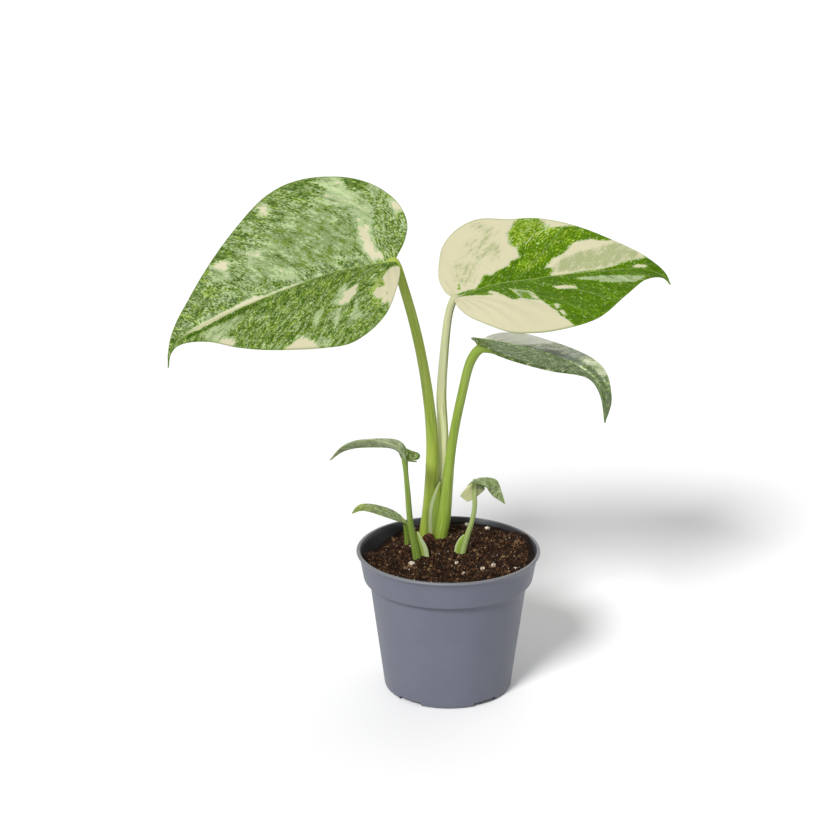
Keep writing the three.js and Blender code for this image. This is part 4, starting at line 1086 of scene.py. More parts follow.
# %% Carry the stems on under their blades
RUN_SHARES, RUN_SINKS = [0, 0.45, 1], [[0.3], [0.35], [0.2]]
RUN_SIZES, RUN_SIZES_PAST_TOP = [(0.5, 0.4), (0.25, 0.2)], [(0.75, 0.7), (0.3, 0.25)]


def run_under_blade(route, radii, leaf, reach, keep_top=False):
    distance, _, side, normal = leaf["track"]
    wanted = leaf["junction"] + reach * np.array(RUN_SHARES)
    roll = radians(leaf["roll"][0])
    up = (unit(at_distance(distance, wanted, normal)) * cos(roll)
          - unit(at_distance(distance, wanted, side)) * sin(roll))
    wide, deep = radii[-1]
    under = (at_distance(distance, wanted, leaf["path"]) - up * deep * RUN_SINKS).tolist()
    thinner = [[wide * w, deep * d] for w, d in (RUN_SIZES_PAST_TOP if keep_top else RUN_SIZES)]
    route = route + under[1:] if keep_top else route[:-1] + under
    return route, radii + thinner


UNDER_BLADE = {
    "petiole_upper_left": ("leaf_upper_left", 11), "petiole_right": ("leaf_right", 9),
    "petiole_drooping": ("leaf_drooping", 15, True), "small_petiole_upper": ("small_leaf_upper", 4),
    "small_petiole_lower": ("small_leaf_lower", 3), "small_petiole_right": ("small_leaf_right", 3),
}
for name, (leaf_name, *reach) in UNDER_BLADE.items():
    STEMS[name] = run_under_blade(*STEMS[name], LEAVES[leaf_name], *reach)

# %% Sweep an oval rod
STEM_STEP = 1.6
END_RINGS, RING_SHARE, LEAST_END = 4, 0.6, 0.5
EXTRA_RINGS = 8
GROOVES = [(1, 5, 0.7), (0.6, 11, 0), (0.5, 17, 2)]
STEM_SIDES, STEM_RIPPLE = 40, 0.008
SHEATH_SIDES, SHEATH_RIPPLE = 28, 0.03
ROD_SHARP = 80


def rod_sizes(widths, distance, wanted):
    """Half width and half depth at each ring. The rod's ends are rounded."""
    total = distance[-1]
    end = np.minimum(widths[-1, 0], RING_SHARE * total / len(wanted) * END_RINGS)
    size = np.stack([np.interp(wanted, distance, widths[:, k]) for k in (0, 1)], -1)
    from_end = np.minimum(wanted, total - wanted)
    inward = np.clip(from_end / max(end, LEAST_END), 0, 1)
    return size * np.sqrt(1 - (1 - inward) ** 2)[:, None]


def swept_rod(name, route, radii, sides, ripple):
    """A closed rod. "ripple" is the depth of its grooves, as a share of its radius."""
    path = smooth_line(route)
    distance, _, side, normal = carried_frames(path, (0, 1, 0))
    wanted = np.linspace(0, distance[-1], int(distance[-1] / STEM_STEP) + EXTRA_RINGS)
    size = rod_sizes(smooth_line([[*r, 0] for r in radii]), distance, wanted)
    side = unit(at_distance(distance, wanted, side))
    normal = unit(at_distance(distance, wanted, normal))
    angle = round_angles(sides)
    groove = 1 + ripple * sum(deep * np.cos(count * angle + turn) for deep, count, turn in GROOVES)
    ring = (side[:, None] * (np.cos(angle) * groove)[None, :, None] * size[:, None, :1]
            + normal[:, None] * (np.sin(angle) * groove)[None, :, None] * size[:, None, 1:])
    points = at_distance(distance, wanted, path)[:, None] + ring
    fold_over = 1 - np.abs(2 * np.linspace(0, 1, sides, endpoint=False) - 1)
    girth = 2 * pi * max(r[0] for r in radii)
    stem_map = np.stack(np.broadcast_arrays(fold_over[None] * girth * VEIN_UNIT,
                                            (wanted * VEIN_UNIT)[:, None]), -1)
    piece = mesh_piece(name, points.reshape(-1, 3), ring_faces(len(wanted), sides),
                       {"stem": stem_map.reshape(-1, 2)},
                       {"left": np.tile(fold_over, len(wanted))})
    return welded(piece, ROD_SHARP)


stems = {name: swept_rod(name + "_body", *shape, STEM_SIDES, STEM_RIPPLE)
         for name, shape in STEMS.items()}
sheaths = {name: swept_rod(name + "_body", *shape, SHEATH_SIDES, SHEATH_RIPPLE)
           for name, shape in SHEATHS.items()}

# %% [markdown]
# ## Stem skin
#
# The skin of a stem has fine lines that run its whole length, some paler and some darker. On
# this plant the stem of the cream leaf is nearly cream itself, with an olive line down one
# side, and the sheaths at the feet are green with a dry, pale, papery strip. One group makes
# the lines, the strip and the drift of tone from foot to top, and each material gives it
# its colours. The drift is partly the stem's own colour and partly painted light and shade
# along it. The mark "left" runs from 0 on a rod's right side to 1 on its left.

# %% Stem lines group
stem_net, stem_in, stem_out = node_group(
    "stem_lines",
    {"Stem": (VECTOR, None), "Line width mm": (FLOAT, 0.5), "Line length mm": (FLOAT, 40.0),
     "Base": (COLOUR, None), "Line": (COLOUR, None), "Dark line": (COLOUR, None),
     "Amount": (FLOAT, 0.85), "Left": (FLOAT, 0.0), "Strip at": (FLOAT, 0.0),
     "Strip reach": (FLOAT, 0.0), "Strip": (COLOUR, tint(176, 188, 142)),
     "Length mm": (FLOAT, 200.0), "Foot tone": (FLOAT, 1.0), "Top tone": (FLOAT, 1.0)},
    {"Color": COLOUR, "Height": FLOAT})
stem_parts = stem_net.parts(stem_in["Stem"])


def stem_share(part, millimetres):
    """A UV part of the stem, measured in steps of a length."""
    return stem_net.calc("DIVIDE", part, stem_net.calc("MULTIPLY", millimetres, VEIN_UNIT))


def stem_noise(width, length, shift, detail):
    steps = {0: stem_share(stem_parts[0], width), 1: stem_share(stem_parts[1], length), 2: shift}
    place = stem_net.add("ShaderNodeCombineXYZ", steps).outputs[0]
    return stem_net.noise(place, 1.0, detail)


# %% Pale and dark lines along the stem
PALE_LINE_STEP, DARK_LINE_STEP = (0.46, 0.64), (0.47, 0.36, 0.0, 0.9)

fine_lines = stem_noise(stem_in["Line width mm"], stem_in["Line length mm"], 0.0, 3.0)
broad = stem_noise(1.8, 30.0, 9.0, 2.0)
line_on = stem_net.calc("MULTIPLY", stem_net.stepped(fine_lines, *PALE_LINE_STEP),
                        stem_in["Amount"])
skin = stem_net.mixed(line_on, stem_in["Base"], stem_in["Line"])
dark_line = stem_net.calc("MULTIPLY_ADD", fine_lines, 0.6, stem_net.calc("MULTIPLY", broad, 0.4))
skin = stem_net.mixed(stem_net.stepped(dark_line, *DARK_LINE_STEP), skin, stem_in["Dark line"])

# %% The strip down one side wanders a little and has frayed edges
STRIP_FRAY, STRIP_CORE, STRIP_COVER = 0.35, 0.6, 0.85

wander = stem_net.calc("MULTIPLY_ADD", stem_net.calc("SUBTRACT", broad, 0.5),
                       stem_in["Strip reach"], stem_in["Left"])
frayed = stem_net.calc("MULTIPLY_ADD", stem_net.calc("SUBTRACT", fine_lines, 0.5), STRIP_FRAY,
                       wander)
off_strip = stem_net.calc("ABSOLUTE", stem_net.calc("SUBTRACT", frayed, stem_in["Strip at"]))
core = stem_net.calc("MULTIPLY", stem_in["Strip reach"], STRIP_CORE)
strip_on = stem_net.stepped(off_strip, stem_in["Strip reach"], core, 0.0, STRIP_COVER)
has_strip = stem_net.calc("GREATER_THAN", stem_in["Strip reach"], 0.0)
skin = stem_net.mixed(stem_net.calc("MULTIPLY", strip_on, has_strip), skin, stem_in["Strip"])

# %% A stem's tone drifts from its foot to its top, partly painted light and shade
up_share = stem_share(stem_parts[1], stem_in["Length mm"])
tone = stem_net.stepped(up_share, 0.35, 1.0, stem_in["Foot tone"], stem_in["Top tone"])
stem_net.link(stem_net.toned(skin, tone), stem_out["Color"])
stem_net.link(fine_lines, stem_out["Height"])


# %% Stem and sheath materials
STEM_PATCH, STEM_GRAIN = 5.0, 0.35
STEM_BUMP = 0.22
STEM_SPECULAR, STEM_ROUGH, SHEATH_ROUGH = 0.3, 0.42, 0.5


def stem_material(name, base, line, dark, rough=STEM_ROUGH, **values):
    material, net, surface = new_material(name, STEM_SPECULAR)
    colours = {"Base": base, "Line": line, "Dark line": dark}
    made = net.group(stem_net, {"Stem": net.map("stem"), "Left": net.mark("left"),
                                **colours, **values})
    fine = grain_on(net, STEM_PATCH, STEM_GRAIN)
    roughness = net.stepped(fine["Patch"], 0.3, 0.7, rough - 0.05, rough + 0.08)
    finish_surface(net, surface, made["Color"], roughness, made["Height"], STEM_BUMP)
    return material


# The foot and top tones are partly the stems' own colour and partly painted light and shade along
# them.
green_stem = stem_material("green_stem", tint(120, 143, 40), tint(152, 169, 90),
                           tint(86, 115, 18), **{"Foot tone": 1.08, "Top tone": 0.88})
broad_stem = stem_material("broad_stem", tint(130, 150, 42), tint(164, 178, 96),
                           tint(100, 124, 22), **{"Foot tone": 1.14, "Top tone": 1.1})
cream_stem = stem_material("cream_stem", tint(196, 198, 150), tint(208, 210, 172),
                           tint(164, 172, 104),
                           **{"Strip at": 0.0, "Strip reach": 0.37, "Strip": tint(112, 123, 28),
                              "Foot tone": 1.55, "Top tone": 0.72})
young_stem = stem_material("young_stem", tint(98, 122, 38), tint(142, 160, 84),
                           tint(56, 80, 14))
pale_stem = stem_material("pale_stem", tint(134, 152, 84), tint(172, 184, 130),
                          tint(84, 110, 38))
STEM_FINISHES = {"petiole_upper_left": broad_stem, "petiole_right": cream_stem,
                 "small_petiole_upper": young_stem,
                 "small_petiole_lower": young_stem, "small_petiole_right": pale_stem}
for name, piece in stems.items():
    slot = "petiole_cream" if name == "petiole_right" else "petiole_green"
    keep(piece, STEM_FINISHES.get(name, green_stem), slot, name)

# %% The sheaths: place and reach of the papery strip, and slot
PAPERY_STRIPS = {"sheath_main": (0.62, 0.12, "sheath_papery"),
                 "sheath_small_upper": (0.0, 0.6, "petiole_green"),
                 "sheath_small_right": (1.0, 0.4, "petiole_green")}
for name, (strip_at, strip_reach, slot) in PAPERY_STRIPS.items():
    finish = stem_material(name + "_skin", tint(124, 147, 44), tint(156, 172, 92),
                           tint(92, 120, 24), SHEATH_ROUGH,
                           **{"Strip at": strip_at, "Strip reach": strip_reach})
    keep(sheaths[name], finish, slot, name)

# %% [markdown]
# ## The pot
#
# A thin nursery pot, blown and trimmed in one piece from grey-blue plastic: a tapered body,
# a stepped band that the fingers grip, a rolled lip, and five raised pads under the floor
# that let water out. It is turned from one profile, with a proper arc at every bend, and the
# pads and their holes are cut with Booleans, because they are the only parts that aren't
# round about the middle.

# %% Sizes of the pot, in millimetres
POT_HEIGHT = 95.5
LIP_RADIUS, LIP_ROLL = 60, 1.05
BAND_TOP, BAND_TOP_RADIUS = 92.3, 58.1
BAND_BOTTOM, BAND_BOTTOM_RADIUS = 76.2, 55.4
BODY_TOP_RADIUS, BASE_RADIUS, BASE_FILLET = 51.8, 42.2, 2.4
WALL = 1.5
LEDGE_TOP = BAND_BOTTOM + WALL
MOUTH_RADIUS, MOUTH_SLOPE = 57.9, 0.45
BODY_BEND, BAND_BEND, CORNER_BEND = 0.75, 0.7, 1.2
POT_SIDES = 192


def inner_radius(z, low, low_radius, high, high_radius):
    return low_radius + (high_radius - low_radius) * (z - low) / (high - low) - WALL


def body_inside(z):
    return inner_radius(z, WALL, BASE_RADIUS, LEDGE_TOP, BODY_TOP_RADIUS)


def band_inside(z):
    return inner_radius(z, LEDGE_TOP, BAND_BOTTOM_RADIUS, BAND_TOP, BAND_TOP_RADIUS)


# %% Profile of the pot, from the middle of its underside, over the lip, to inside the floor
def arc(x, z, radius, start, stop, steps):
    angles = np.radians(np.linspace(start, stop, steps + 1))
    return [(x + radius * cos(a), z + radius * sin(a)) for a in angles]


def straight(start, stop, steps):
    return [tuple(np.array(start) + (np.array(stop) - start) * i / steps)
            for i in range(steps + 1)]


# An arc has a middle, a radius, a first and a last angle in degrees, and a count of steps.
outside = (
    [(0, 0)] + straight((8, 0), (36, 0), 4)
    + arc(BASE_RADIUS - BASE_FILLET, BASE_FILLET, BASE_FILLET, -90, -7, 8)
    + straight((BASE_RADIUS + 0.35, 5), (BODY_TOP_RADIUS - 0.12, BAND_BOTTOM - 0.9), 12)
    + arc(BODY_TOP_RADIUS + 0.7, BAND_BOTTOM - BODY_BEND, BODY_BEND, 172, 95, 4)
    + arc(BAND_BOTTOM_RADIUS - BAND_BEND, BAND_BOTTOM + BAND_BEND, BAND_BEND, -88, -8, 5)
    + straight((BAND_BOTTOM_RADIUS + 0.15, 77.6), (BAND_TOP_RADIUS - 0.05, BAND_TOP - 0.6), 4)
    + arc(LIP_RADIUS - LIP_ROLL, POT_HEIGHT - LIP_ROLL, LIP_ROLL, -62, 100, 14))
inside = (
    [(MOUTH_RADIUS, POT_HEIGHT - 0.15), (MOUTH_RADIUS - MOUTH_SLOPE, POT_HEIGHT - 0.6)]
    + straight((band_inside(BAND_TOP), BAND_TOP), (band_inside(79), 79), 5)
    + [(band_inside(LEDGE_TOP) - 0.3, LEDGE_TOP), (body_inside(LEDGE_TOP), LEDGE_TOP)]
    + straight((body_inside(76), 76), (body_inside(3), 3), 6)
    + arc(body_inside(WALL) - CORNER_BEND, WALL + CORNER_BEND, CORNER_BEND, 0, -90, 4)
    + straight((30, WALL), (8, WALL), 3) + [(0, WALL)])


# %% Turn the pot
TURNED_SHARP, CUT_SHARP = 40, 35


def turned_piece(name, profile, sides):
    angle = round_angles(sides)
    profile = np.array(profile, float)
    ring = np.stack([np.cos(angle), np.sin(angle)], -1)
    points = np.concatenate([profile[:, None, :1] * ring[None],
                             np.broadcast_to(profile[:, None, 1:], (len(profile), sides, 1))], -1)
    return welded(mesh_piece(name, points.reshape(-1, 3), ring_faces(len(profile), sides)),
                  TURNED_SHARP)


pot = turned_piece("pot_shell", outside + inside, POT_SIDES)

# %% [markdown]
# Under the floor, each pad is a shallow channel that runs out through the corner of the
# base, so water leaves by it even on a flat saucer. The floor rises over it by the same
# amount inside. A block is added above the floor and one is taken away below it.

# %% A block on a spoke of the pot, with rounded upright corners
CORNER_STEPS = 5


def pad_block(name, angle, inner, outer, width, low, high, corner):
    shape = bmesh.new()
    bmesh.ops.create_cube(shape, size=1)
    for v in shape.verts:
        v.co = ((v.co.x + 0.5) * (outer - inner) + inner, v.co.y * width,
                (v.co.z + 0.5) * (high - low) + low)
    upright = [e for e in shape.edges if abs(e.verts[0].co.z - e.verts[1].co.z) > 0.1]
    bmesh.ops.bevel(shape, geom=upright, offset=corner, segments=CORNER_STEPS, affect="EDGES",
                    profile=0.5)
    bmesh.ops.recalc_face_normals(shape, faces=shape.faces)
    a = radians(angle)
    for v in shape.verts:
        x, y = v.co.x, v.co.y
        v.co = ((x * cos(a) - y * sin(a)) * MM, (x * sin(a) + y * cos(a)) * MM, v.co.z * MM)
    return shape_piece(name, shape)


def cut_or_join(piece, tool, operation):
    modifier = piece.modifiers.new("boolean", "BOOLEAN")
    modifier.operation, modifier.object, modifier.solver = operation, tool, "EXACT"
    modifier_applied(piece)
    bpy.data.objects.remove(tool)


# %% Pads, channels and drain holes
PAD_COUNT, PAD_WIDTH, PAD_INNER, PAD_RISE = 5, 17.5, 29, 2.9
PAD_FIRST_ANGLE = -127
PAD_CORNER, CHANNEL_CORNER = 2.5, 1.5
PAD_FOOT, PAD_OVERLAP = 0.8, 0.7
CUT_LOW, HOLE_CUT_HIGH, CHANNEL_OUTER = -1, 6, 50
HOLE_RADIUS, HOLE_PLACE, HOLE_ROUNDING = 3.5, 35, 0.98

spokes = [PAD_FIRST_ANGLE + i * 360 / PAD_COUNT for i in range(PAD_COUNT)]
for angle in spokes:
    cut_or_join(pot, pad_block("pad", angle, PAD_INNER - WALL, body_inside(WALL) + PAD_OVERLAP,
                               PAD_WIDTH + 2 * WALL, PAD_FOOT, PAD_RISE + WALL, PAD_CORNER),
                "UNION")
for angle in spokes:
    cut_or_join(pot, pad_block("channel", angle, PAD_INNER, CHANNEL_OUTER, PAD_WIDTH, CUT_LOW,
                               PAD_RISE, CHANNEL_CORNER), "DIFFERENCE")
    cut_or_join(pot, pad_block("hole", angle, HOLE_PLACE - HOLE_RADIUS, HOLE_PLACE + HOLE_RADIUS,
                               2 * HOLE_RADIUS, CUT_LOW, HOLE_CUT_HIGH,
                               HOLE_RADIUS * HOLE_ROUNDING), "DIFFERENCE")
welded(pot, CUT_SHARP)

# %% [markdown]
# ## Pot plastic
#
# The pot is satin, coloured through and a little cloudy, with a very fine grain from the
# mould. The top of the lip is painted paler, as a painted highlight, and inside, the wall is
# dull and painted dark, as painted shade. Plain colour with one roughness would look like a
# rendering of a pot, so colour and gloss both drift over a couple of centimetres.

# %% Pot material: cloudy plastic, with a painted highlight on the lip
# The paler lip colour is a painted highlight on the top of the lip.
POT_COLOUR, POT_CLOUD, POT_LIP_HIGHLIGHT = tint(87, 90, 103), tint(90, 93, 105), tint(106, 107, 110)
# The dark inside colour is painted shade on the inner wall.
POT_PAINTED_SHADE = tint(38, 37, 38)
POT_PATCH, POT_GRAIN, POT_BUMP = 26.0, 0.5, 0.035
LIP_HIGHLIGHT_STARTS, LIP_HIGHLIGHT_ENDS, LIP_HIGHLIGHT_SHARE, INSIDE_SHADE_SHARE = POT_HEIGHT - 1.6, POT_HEIGHT - 0.4, 0.85, 0.85
POT_SPECULAR, CLOUD_STEP, POT_ROUGHNESS = 0.4, (0.35, 0.65), (0.3, 0.7, 0.42, 0.5)

pot_plastic, net, surface = new_material("pot_plastic", POT_SPECULAR)
grain = grain_on(net, POT_PATCH, POT_GRAIN)
colour = net.mixed(net.stepped(grain["Patch"], *CLOUD_STEP), POT_COLOUR, POT_CLOUD)
height_above = net.parts(net.place())[2]
# The top of the lip is painted paler, as a painted highlight.
lip_highlight = net.stepped(height_above, LIP_HIGHLIGHT_STARTS * MM, LIP_HIGHLIGHT_ENDS * MM, 0.0, LIP_HIGHLIGHT_SHARE)
colour = net.mixed(lip_highlight, colour, POT_LIP_HIGHLIGHT)

# %% Painted shade on the inner wall: nearer to the axis than the middle of the band's wall
BAND_SLOPE = (BAND_TOP_RADIUS - BAND_BOTTOM_RADIUS) / (BAND_TOP - BAND_BOTTOM)
HALF_BLEND = 0.3

flat_place = net.vector("MULTIPLY", net.place(), (1, 1, 0))
radius = net.add("ShaderNodeVectorMath", {0: flat_place}, operation="LENGTH").outputs["Value"]
wall_middle = net.calc("MULTIPLY_ADD", height_above, BAND_SLOPE,
                       (BAND_BOTTOM_RADIUS - WALL / 2 - BAND_BOTTOM * BAND_SLOPE) * MM)
past_middle = net.calc("SUBTRACT", radius, wall_middle)
within = net.stepped(past_middle, HALF_BLEND * MM, -HALF_BLEND * MM, 0.0, INSIDE_SHADE_SHARE)
above_ledge = net.stepped(height_above, BAND_BOTTOM * MM, LEDGE_TOP * MM)
# The inner wall above the ledge is painted dark, as painted shade.
colour = net.mixed(net.calc("MULTIPLY", within, above_ledge), colour, POT_PAINTED_SHADE)
roughness = net.stepped(grain["Patch"], *POT_ROUGHNESS)
finish_surface(net, surface, colour, roughness, grain["Grain"], POT_BUMP)
keep(pot, pot_plastic, "pot_plastic", "pot")

# %% [markdown]
# ## The soil
#
# Potting soil is dark, damp and open: bark crumbs, fibres and grit of many sizes, on an
# uneven surface that slopes to the front. It could be one displaced sheet, but then it would
# have no undercuts. Here a displaced body carries thousands of loose crumbs, and Geometry
# Nodes scatter them, because they are the same rule applied over a surface.

# %% Height of the soil surface, in millimetres
SOIL_LEVEL, SLOPE_X, SLOPE_Y = 87.9, 0.05, 0.055
MOUNDS = [(4.2, (-9, 22), 20), (-4, (-42, 20), 14), (8, (-53, -2), 9), (4.5, (49, 22), 9)]
LOW_LUMP, LUMP_WAVES = 0.5, [(0.45, 0.3, 0), (-0.2, 0.38, 1)]


def swell(x, y, place, spread):
    return np.exp(-((x - place[0]) ** 2 + (y - place[1]) ** 2) / (2 * spread**2))


def soil_height(x, y):
    """A sloping level with mounds of a height, a place and a spread, and low lumps."""
    height = SOIL_LEVEL + SLOPE_X * x + SLOPE_Y * y
    for rise, place, spread in MOUNDS:
        height = height + rise * swell(x, y, place, spread)
    first, second = [np.sin(a * x + b * y + turn) for a, b, turn in LUMP_WAVES]
    return height + LOW_LUMP * first * second


# %% Small lumps of the surface itself, from many crossed waves
CLOD_SEED, CLOD_WAVES, CLOD_HEIGHT = 5, 26, 0.13
CLOD_PACES, CLOD_FADE, CLODS_END = (0.35, 2.2), 0.6, 0.93


def clods(x, y):
    rough = np.random.default_rng(CLOD_SEED)
    total = np.zeros_like(x)
    for _ in range(CLOD_WAVES):
        pace, turn, phase = rough.uniform(*CLOD_PACES), rough.uniform(0, pi), rough.uniform(0, 6.3)
        total += np.sin(pace * (x * cos(turn) + y * sin(turn)) + phase) / pace**CLOD_FADE
    return CLOD_HEIGHT * total


# %% Build the soil body
SOIL_SIDES, SOIL_RINGS = 180, 60
SOIL_GAP = 0.3
SOIL_FLOOR = PAD_RISE + WALL + SOIL_GAP
SOIL_EDGE = 55
SOIL_SHARP = 60
LEDGE_LEVEL = 78


def soil_sheet():
    angle = round_angles(SOIL_SIDES)
    share = np.linspace(0, 1, SOIL_RINGS + 1)[:, None]
    level = soil_height(SOIL_EDGE * np.cos(angle), SOIL_EDGE * np.sin(angle))
    reach = band_inside(level) - SOIL_GAP
    x, y = share * reach * np.cos(angle), share * reach * np.sin(angle)
    return x, y, soil_height(x, y) + clods(x, y) * ease(1.0, CLODS_END, share)


def ring_at(radius, z):
    angle = round_angles(SOIL_SIDES)
    return np.stack([radius * np.cos(angle), radius * np.sin(angle), np.full(SOIL_SIDES, z)], -1)


def soil_piece(name, rings):
    faces = ring_faces(len(rings), SOIL_SIDES)
    return mesh_piece(name, rings.reshape(-1, 3), facing_back(faces))


sheet = np.stack(soil_sheet(), -1)
below = [ring_at(band_inside(LEDGE_LEVEL) - SOIL_GAP, LEDGE_TOP + SOIL_GAP),
         ring_at(body_inside(LEDGE_LEVEL) - SOIL_GAP, LEDGE_TOP + SOIL_GAP),
         ring_at(body_inside(SOIL_FLOOR) - SOIL_GAP, SOIL_FLOOR), ring_at(0.0, SOIL_FLOOR)]
soil = welded(soil_piece("soil_body", np.concatenate([sheet, below])), SOIL_SHARP)

# %% [markdown]
# One Geometry Nodes tree scatters small closed lumps. Its inputs say how thickly, how large
# and from which seed, so the same tree makes coarse crumbs, fine crumbs and white grit. Each
# lump gets a random number, "shade", that the material reads as its own tone.

# %% Tree that scatters lumps on a surface
GEOMETRY, WHOLE = "NodeSocketGeometry", "NodeSocketInt"
LUMP_NOISE, LUMP_PUSH = {"Scale": 1.3, "Detail": 2.0}, 1.5
FLATTEST, ROUNDEST = (0.6, 0.6, 0.45), (1.25, 1.25, 1.0)
FULL_TURN = (6.28, 6.28, 6.28)

lump_net, given, result = node_group(
    "scatter_lumps",
    {"Geometry": (GEOMETRY, None), "Lumps per square metre": (FLOAT, None),
     "Smallest": (FLOAT, None), "Largest": (FLOAT, None), "Roundness": (WHOLE, None),
     "Seed": (WHOLE, None), "Material": ("NodeSocketMaterial", None)},
    {"Geometry": GEOMETRY}, "GeometryNodeTree")


def random_value(kind, low, high, seed):
    first, output = {"FLOAT": (2, 1), "FLOAT_VECTOR": (0, 0)}[kind]
    inputs = {first: low, first + 1: high, "Seed": seed}
    return lump_net.add("FunctionNodeRandomValue", inputs, data_type=kind).outputs[output]


# %% One lump: a ball pushed out of shape by noise
ball = lump_net.add("GeometryNodeMeshIcoSphere",
                    {"Radius": 1.0, "Subdivisions": given["Roundness"]})
push = lump_net.add("ShaderNodeTexNoise", LUMP_NOISE).outputs["Color"]
push = lump_net.vector("SCALE", lump_net.vector("SUBTRACT", push, (0.5, 0.5, 0.5)), LUMP_PUSH)
lump = lump_net.add("GeometryNodeSetPosition",
                    {"Geometry": ball.outputs["Mesh"], "Offset": push}).outputs[0]

# %% Many lumps, each with a size, a turn and a shade of its own
points_on = lump_net.add("GeometryNodeDistributePointsOnFaces",
                         {"Mesh": given["Geometry"], "Density": given["Lumps per square metre"],
                          "Seed": given["Seed"]}).outputs["Points"]
size = random_value("FLOAT", given["Smallest"], given["Largest"], given["Seed"])
uneven = random_value("FLOAT_VECTOR", FLATTEST, ROUNDEST, 3)
spin = random_value("FLOAT_VECTOR", (0, 0, 0), FULL_TURN, 5)
scattered = lump_net.add("GeometryNodeInstanceOnPoints",
                         {"Points": points_on, "Instance": lump, "Rotation": spin,
                          "Scale": lump_net.vector("SCALE", uneven, size)}).outputs[0]
shade = random_value("FLOAT", 0.0, 1.0, 11)
named = lump_net.add("GeometryNodeStoreNamedAttribute",
                     {"Geometry": scattered, "Name": "shade", "Value": shade},
                     data_type="FLOAT", domain="INSTANCE").outputs[0]
real = lump_net.add("GeometryNodeRealizeInstances", {"Geometry": named}).outputs[0]
painted = lump_net.add("GeometryNodeSetMaterial",
                       {"Geometry": real, "Material": given["Material"]}).outputs[0]
lump_net.link(painted, result["Geometry"])


# %% Run the tree on a sheet and keep the result as a plain mesh
def grown(name, sheet_piece, **values):
    piece = sheet_piece.copy()
    piece.name = name
    bpy.context.collection.objects.link(piece)
    modifier = piece.modifiers.new("grow", "NODES")
    modifier.node_group = lump_net.tree
    sockets = {item.name: item.identifier for item in lump_net.tree.interface.items_tree
               if item.in_out == "INPUT"}
    for title, value in values.items():
        modifier[sockets[title.replace("_", " ")]] = value
    made = modifier_applied(piece)
    made.name = name
    for face in made.polygons:
        face.use_smooth = True
    print(f"{name}: {sum(len(f.vertices) - 2 for f in made.polygons)} triangles")
    return piece


# %% [markdown]
# ## Soil colours
#
# Damp soil is near black in its pores and brown on the crumbs, with some dry, paler bits.
# The material mixes four browns by patch, and each crumb's own "shade" shifts it further.

# %% Soil material
SOIL_DARK, SOIL_BROWN = tint(23, 12, 5), tint(51, 32, 18)
SOIL_LIGHT, SOIL_DRY = tint(88, 60, 38), tint(128, 102, 70)
BROWN_STEP, LIGHT_STEP, DRY_STEP = (0.3, 0.7), (0.72, 0.98), (0.99, 1.1)
SOIL_SPECULAR, SOIL_PATCH, SOIL_GRAIN, SOIL_BUMP = 0.12, 7.0, 0.9, 0.5
PATCH_WEIGHT, SHADE_WEIGHT = 0.7, 0.75
PORE_STEP, SOIL_ROUGHNESS = (0.35, 0.6, 0.45, 0.0), (0.3, 0.7, 0.6, 0.95)

soil_mix, net, surface = new_material("potting_soil", SOIL_SPECULAR)
grain = grain_on(net, SOIL_PATCH, SOIL_GRAIN)
shade_tone = net.calc("MULTIPLY", net.mark("shade"), SHADE_WEIGHT)
tone = net.calc("MULTIPLY_ADD", grain["Patch"], PATCH_WEIGHT, shade_tone)
colour = SOIL_DARK
for step, lighter in ((BROWN_STEP, SOIL_BROWN), (LIGHT_STEP, SOIL_LIGHT), (DRY_STEP, SOIL_DRY)):
    colour = net.mixed(net.stepped(tone, *step), colour, lighter)
colour = net.mixed(net.stepped(grain["Grain"], *PORE_STEP), colour, SOIL_DARK)
roughness = net.stepped(grain["Grain"], *SOIL_ROUGHNESS)
finish_surface(net, surface, colour, roughness, grain["Grain"], SOIL_BUMP)
keep(soil, soil_mix, "potting_soil", "soil")

# %% [markdown]
# ## Grit and bark
#
# Perlite is white volcanic glass, puffed up like popcorn: dull, pitted, a little stained by
# the soil. The bark chip is a red-brown flake in layers.

# %% Perlite and bark materials
def mottled_mineral(name, sizes, step, dark, light, roughness, bump):
    """Two colours in patches. "sizes" are those of a patch and of the grain."""
    material, net, surface = new_material(name, 0.3)
    grain = grain_on(net, *sizes)
    colour = net.mixed(net.stepped(grain["Patch"], *step), dark, light)
    finish_surface(net, surface, colour, net.stepped(grain["Grain"], 0.2, 0.8, *roughness),
                   grain["Grain"], bump)
    return material


perlite_white = mottled_mineral("perlite_white", (1.6, 0.25), (0.4, 0.6), tint(150, 128, 100),
                                tint(228, 222, 208), (0.7, 0.95), 0.3)
bark_brown = mottled_mineral("bark_brown", (2.2, 0.5), (0.35, 0.65), tint(48, 24, 15),
                             tint(104, 60, 40), (0.6, 0.9), 0.5)

# %% [markdown]
# The crumbs lie on the open part of the surface, so the sheet that they are scattered on
# stops short of the wall.

# %% Scatter crumbs and grit
CARRIER_SHARE = 0.965
CRUMBS = {
    "soil_crumbs_coarse": dict(Lumps_per_square_metre=150000.0, Smallest=0.0005,
                               Largest=0.0014, Roundness=2, Seed=4, Material=soil_mix),
    "soil_crumbs_fine": dict(Lumps_per_square_metre=800000.0, Smallest=0.0003,
                             Largest=0.0007, Roundness=1, Seed=9, Material=soil_mix),
    "perlite_grit": dict(Lumps_per_square_metre=16000.0, Smallest=0.0002,
                         Largest=0.0006, Roundness=2, Seed=21, Material=perlite_white)}

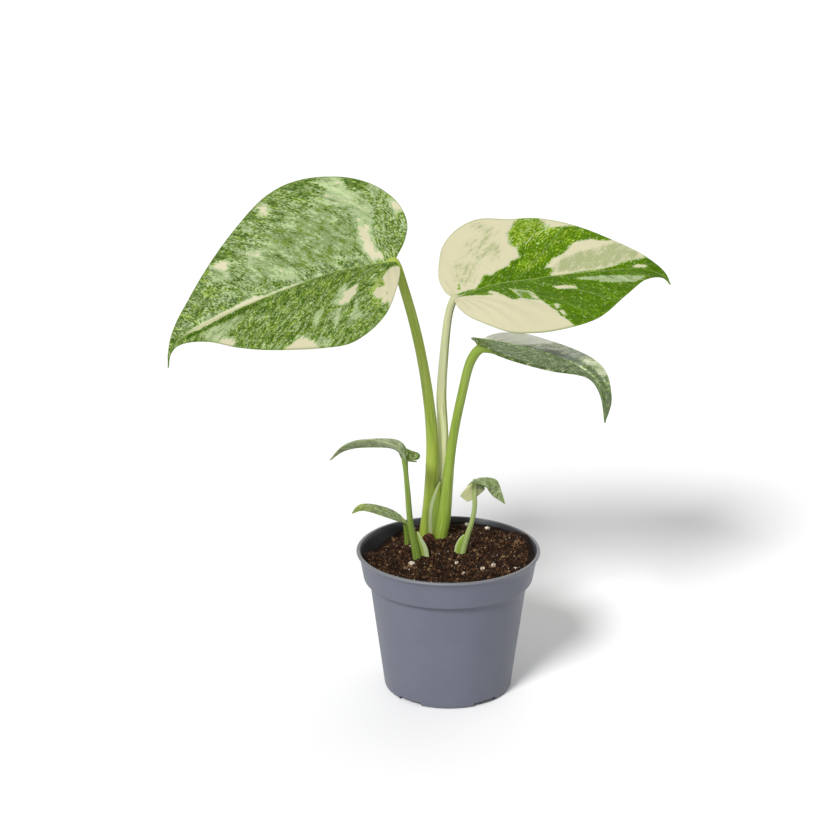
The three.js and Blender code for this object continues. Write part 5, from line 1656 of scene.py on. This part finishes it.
carrier = soil_piece("crumb_carrier", sheet[: int(SOIL_RINGS * CARRIER_SHARE)])
for name, values in CRUMBS.items():
    slot = "perlite" if name == "perlite_grit" else "potting_soil"
    keep(grown(name, carrier, **values), values["Material"], slot)
bpy.data.objects.remove(carrier)

# %% The named grains: perlite and the bark chip
PERLITE = [([-23.7, -7.6], [2.4, 2, 1.9]), ([13, 50.5], [1.9, 1.8, 1.8]),
           ([26.8, 43], [2, 1.8, 1.6]), ([29.3, -15], [2, 1.7, 1.5]),
           ([21.8, -17.5], [1.5, 1.5, 1.3]), ([5.5, -9], [1.3, 1.2, 1.2]),
           ([9.4, -24.2], [1.3, 1.2, 1.3]), ([43, -20], [1.6, 1.4, 1.3])]
LARGE_GRAINS = 4
PIT_COUNT, PIT_SHARPNESS = 26, 14
DENT, LAYERS_A_RADIUS = 0.08, 3
LUMP_SHARP = 60


def lump_piece(name, place, size, stands, seed, detail=3, rough=0.22, layers=0.0):
    """A pitted lump whose middle stands a height above the soil."""
    shape = bmesh.new()
    bmesh.ops.create_icosphere(shape, subdivisions=detail, radius=1)
    pits = np.random.default_rng(seed)
    spots = unit(pits.normal(size=(PIT_COUNT, 3)))
    middle = [*place, soil_height(np.float64(place[0]), np.float64(place[1])) + stands]
    for v in shape.verts:
        p = np.array(v.co)
        near = np.exp(PIT_SHARPNESS * (spots @ p - 1))
        p = p * (1 + rough * (0.5 - near.max()) + DENT * sin(5 * p[0] + seed) * cos(4 * p[1]))
        p[0] += layers * (0.5 if (p[2] * LAYERS_A_RADIUS) % 1 > 0.5 else -0.5)
        v.co = ((p * size + middle) * MM).tolist()
    return welded(shape_piece(name, shape), LUMP_SHARP)


for number, (place, size) in enumerate(PERLITE, 1):
    name = f"perlite_grain_{number}"
    stands = 0.3 if number <= LARGE_GRAINS else 0.2
    keep(lump_piece("white_" + name, place, size, stands, number), perlite_white, "perlite", name)
chip = lump_piece("bark_flake", [-12.4, 21.8], [3.7, 2, 4.3], 1, 31, 4, 0.3, 0.14)
keep(chip, bark_brown, "bark", "bark_chip")
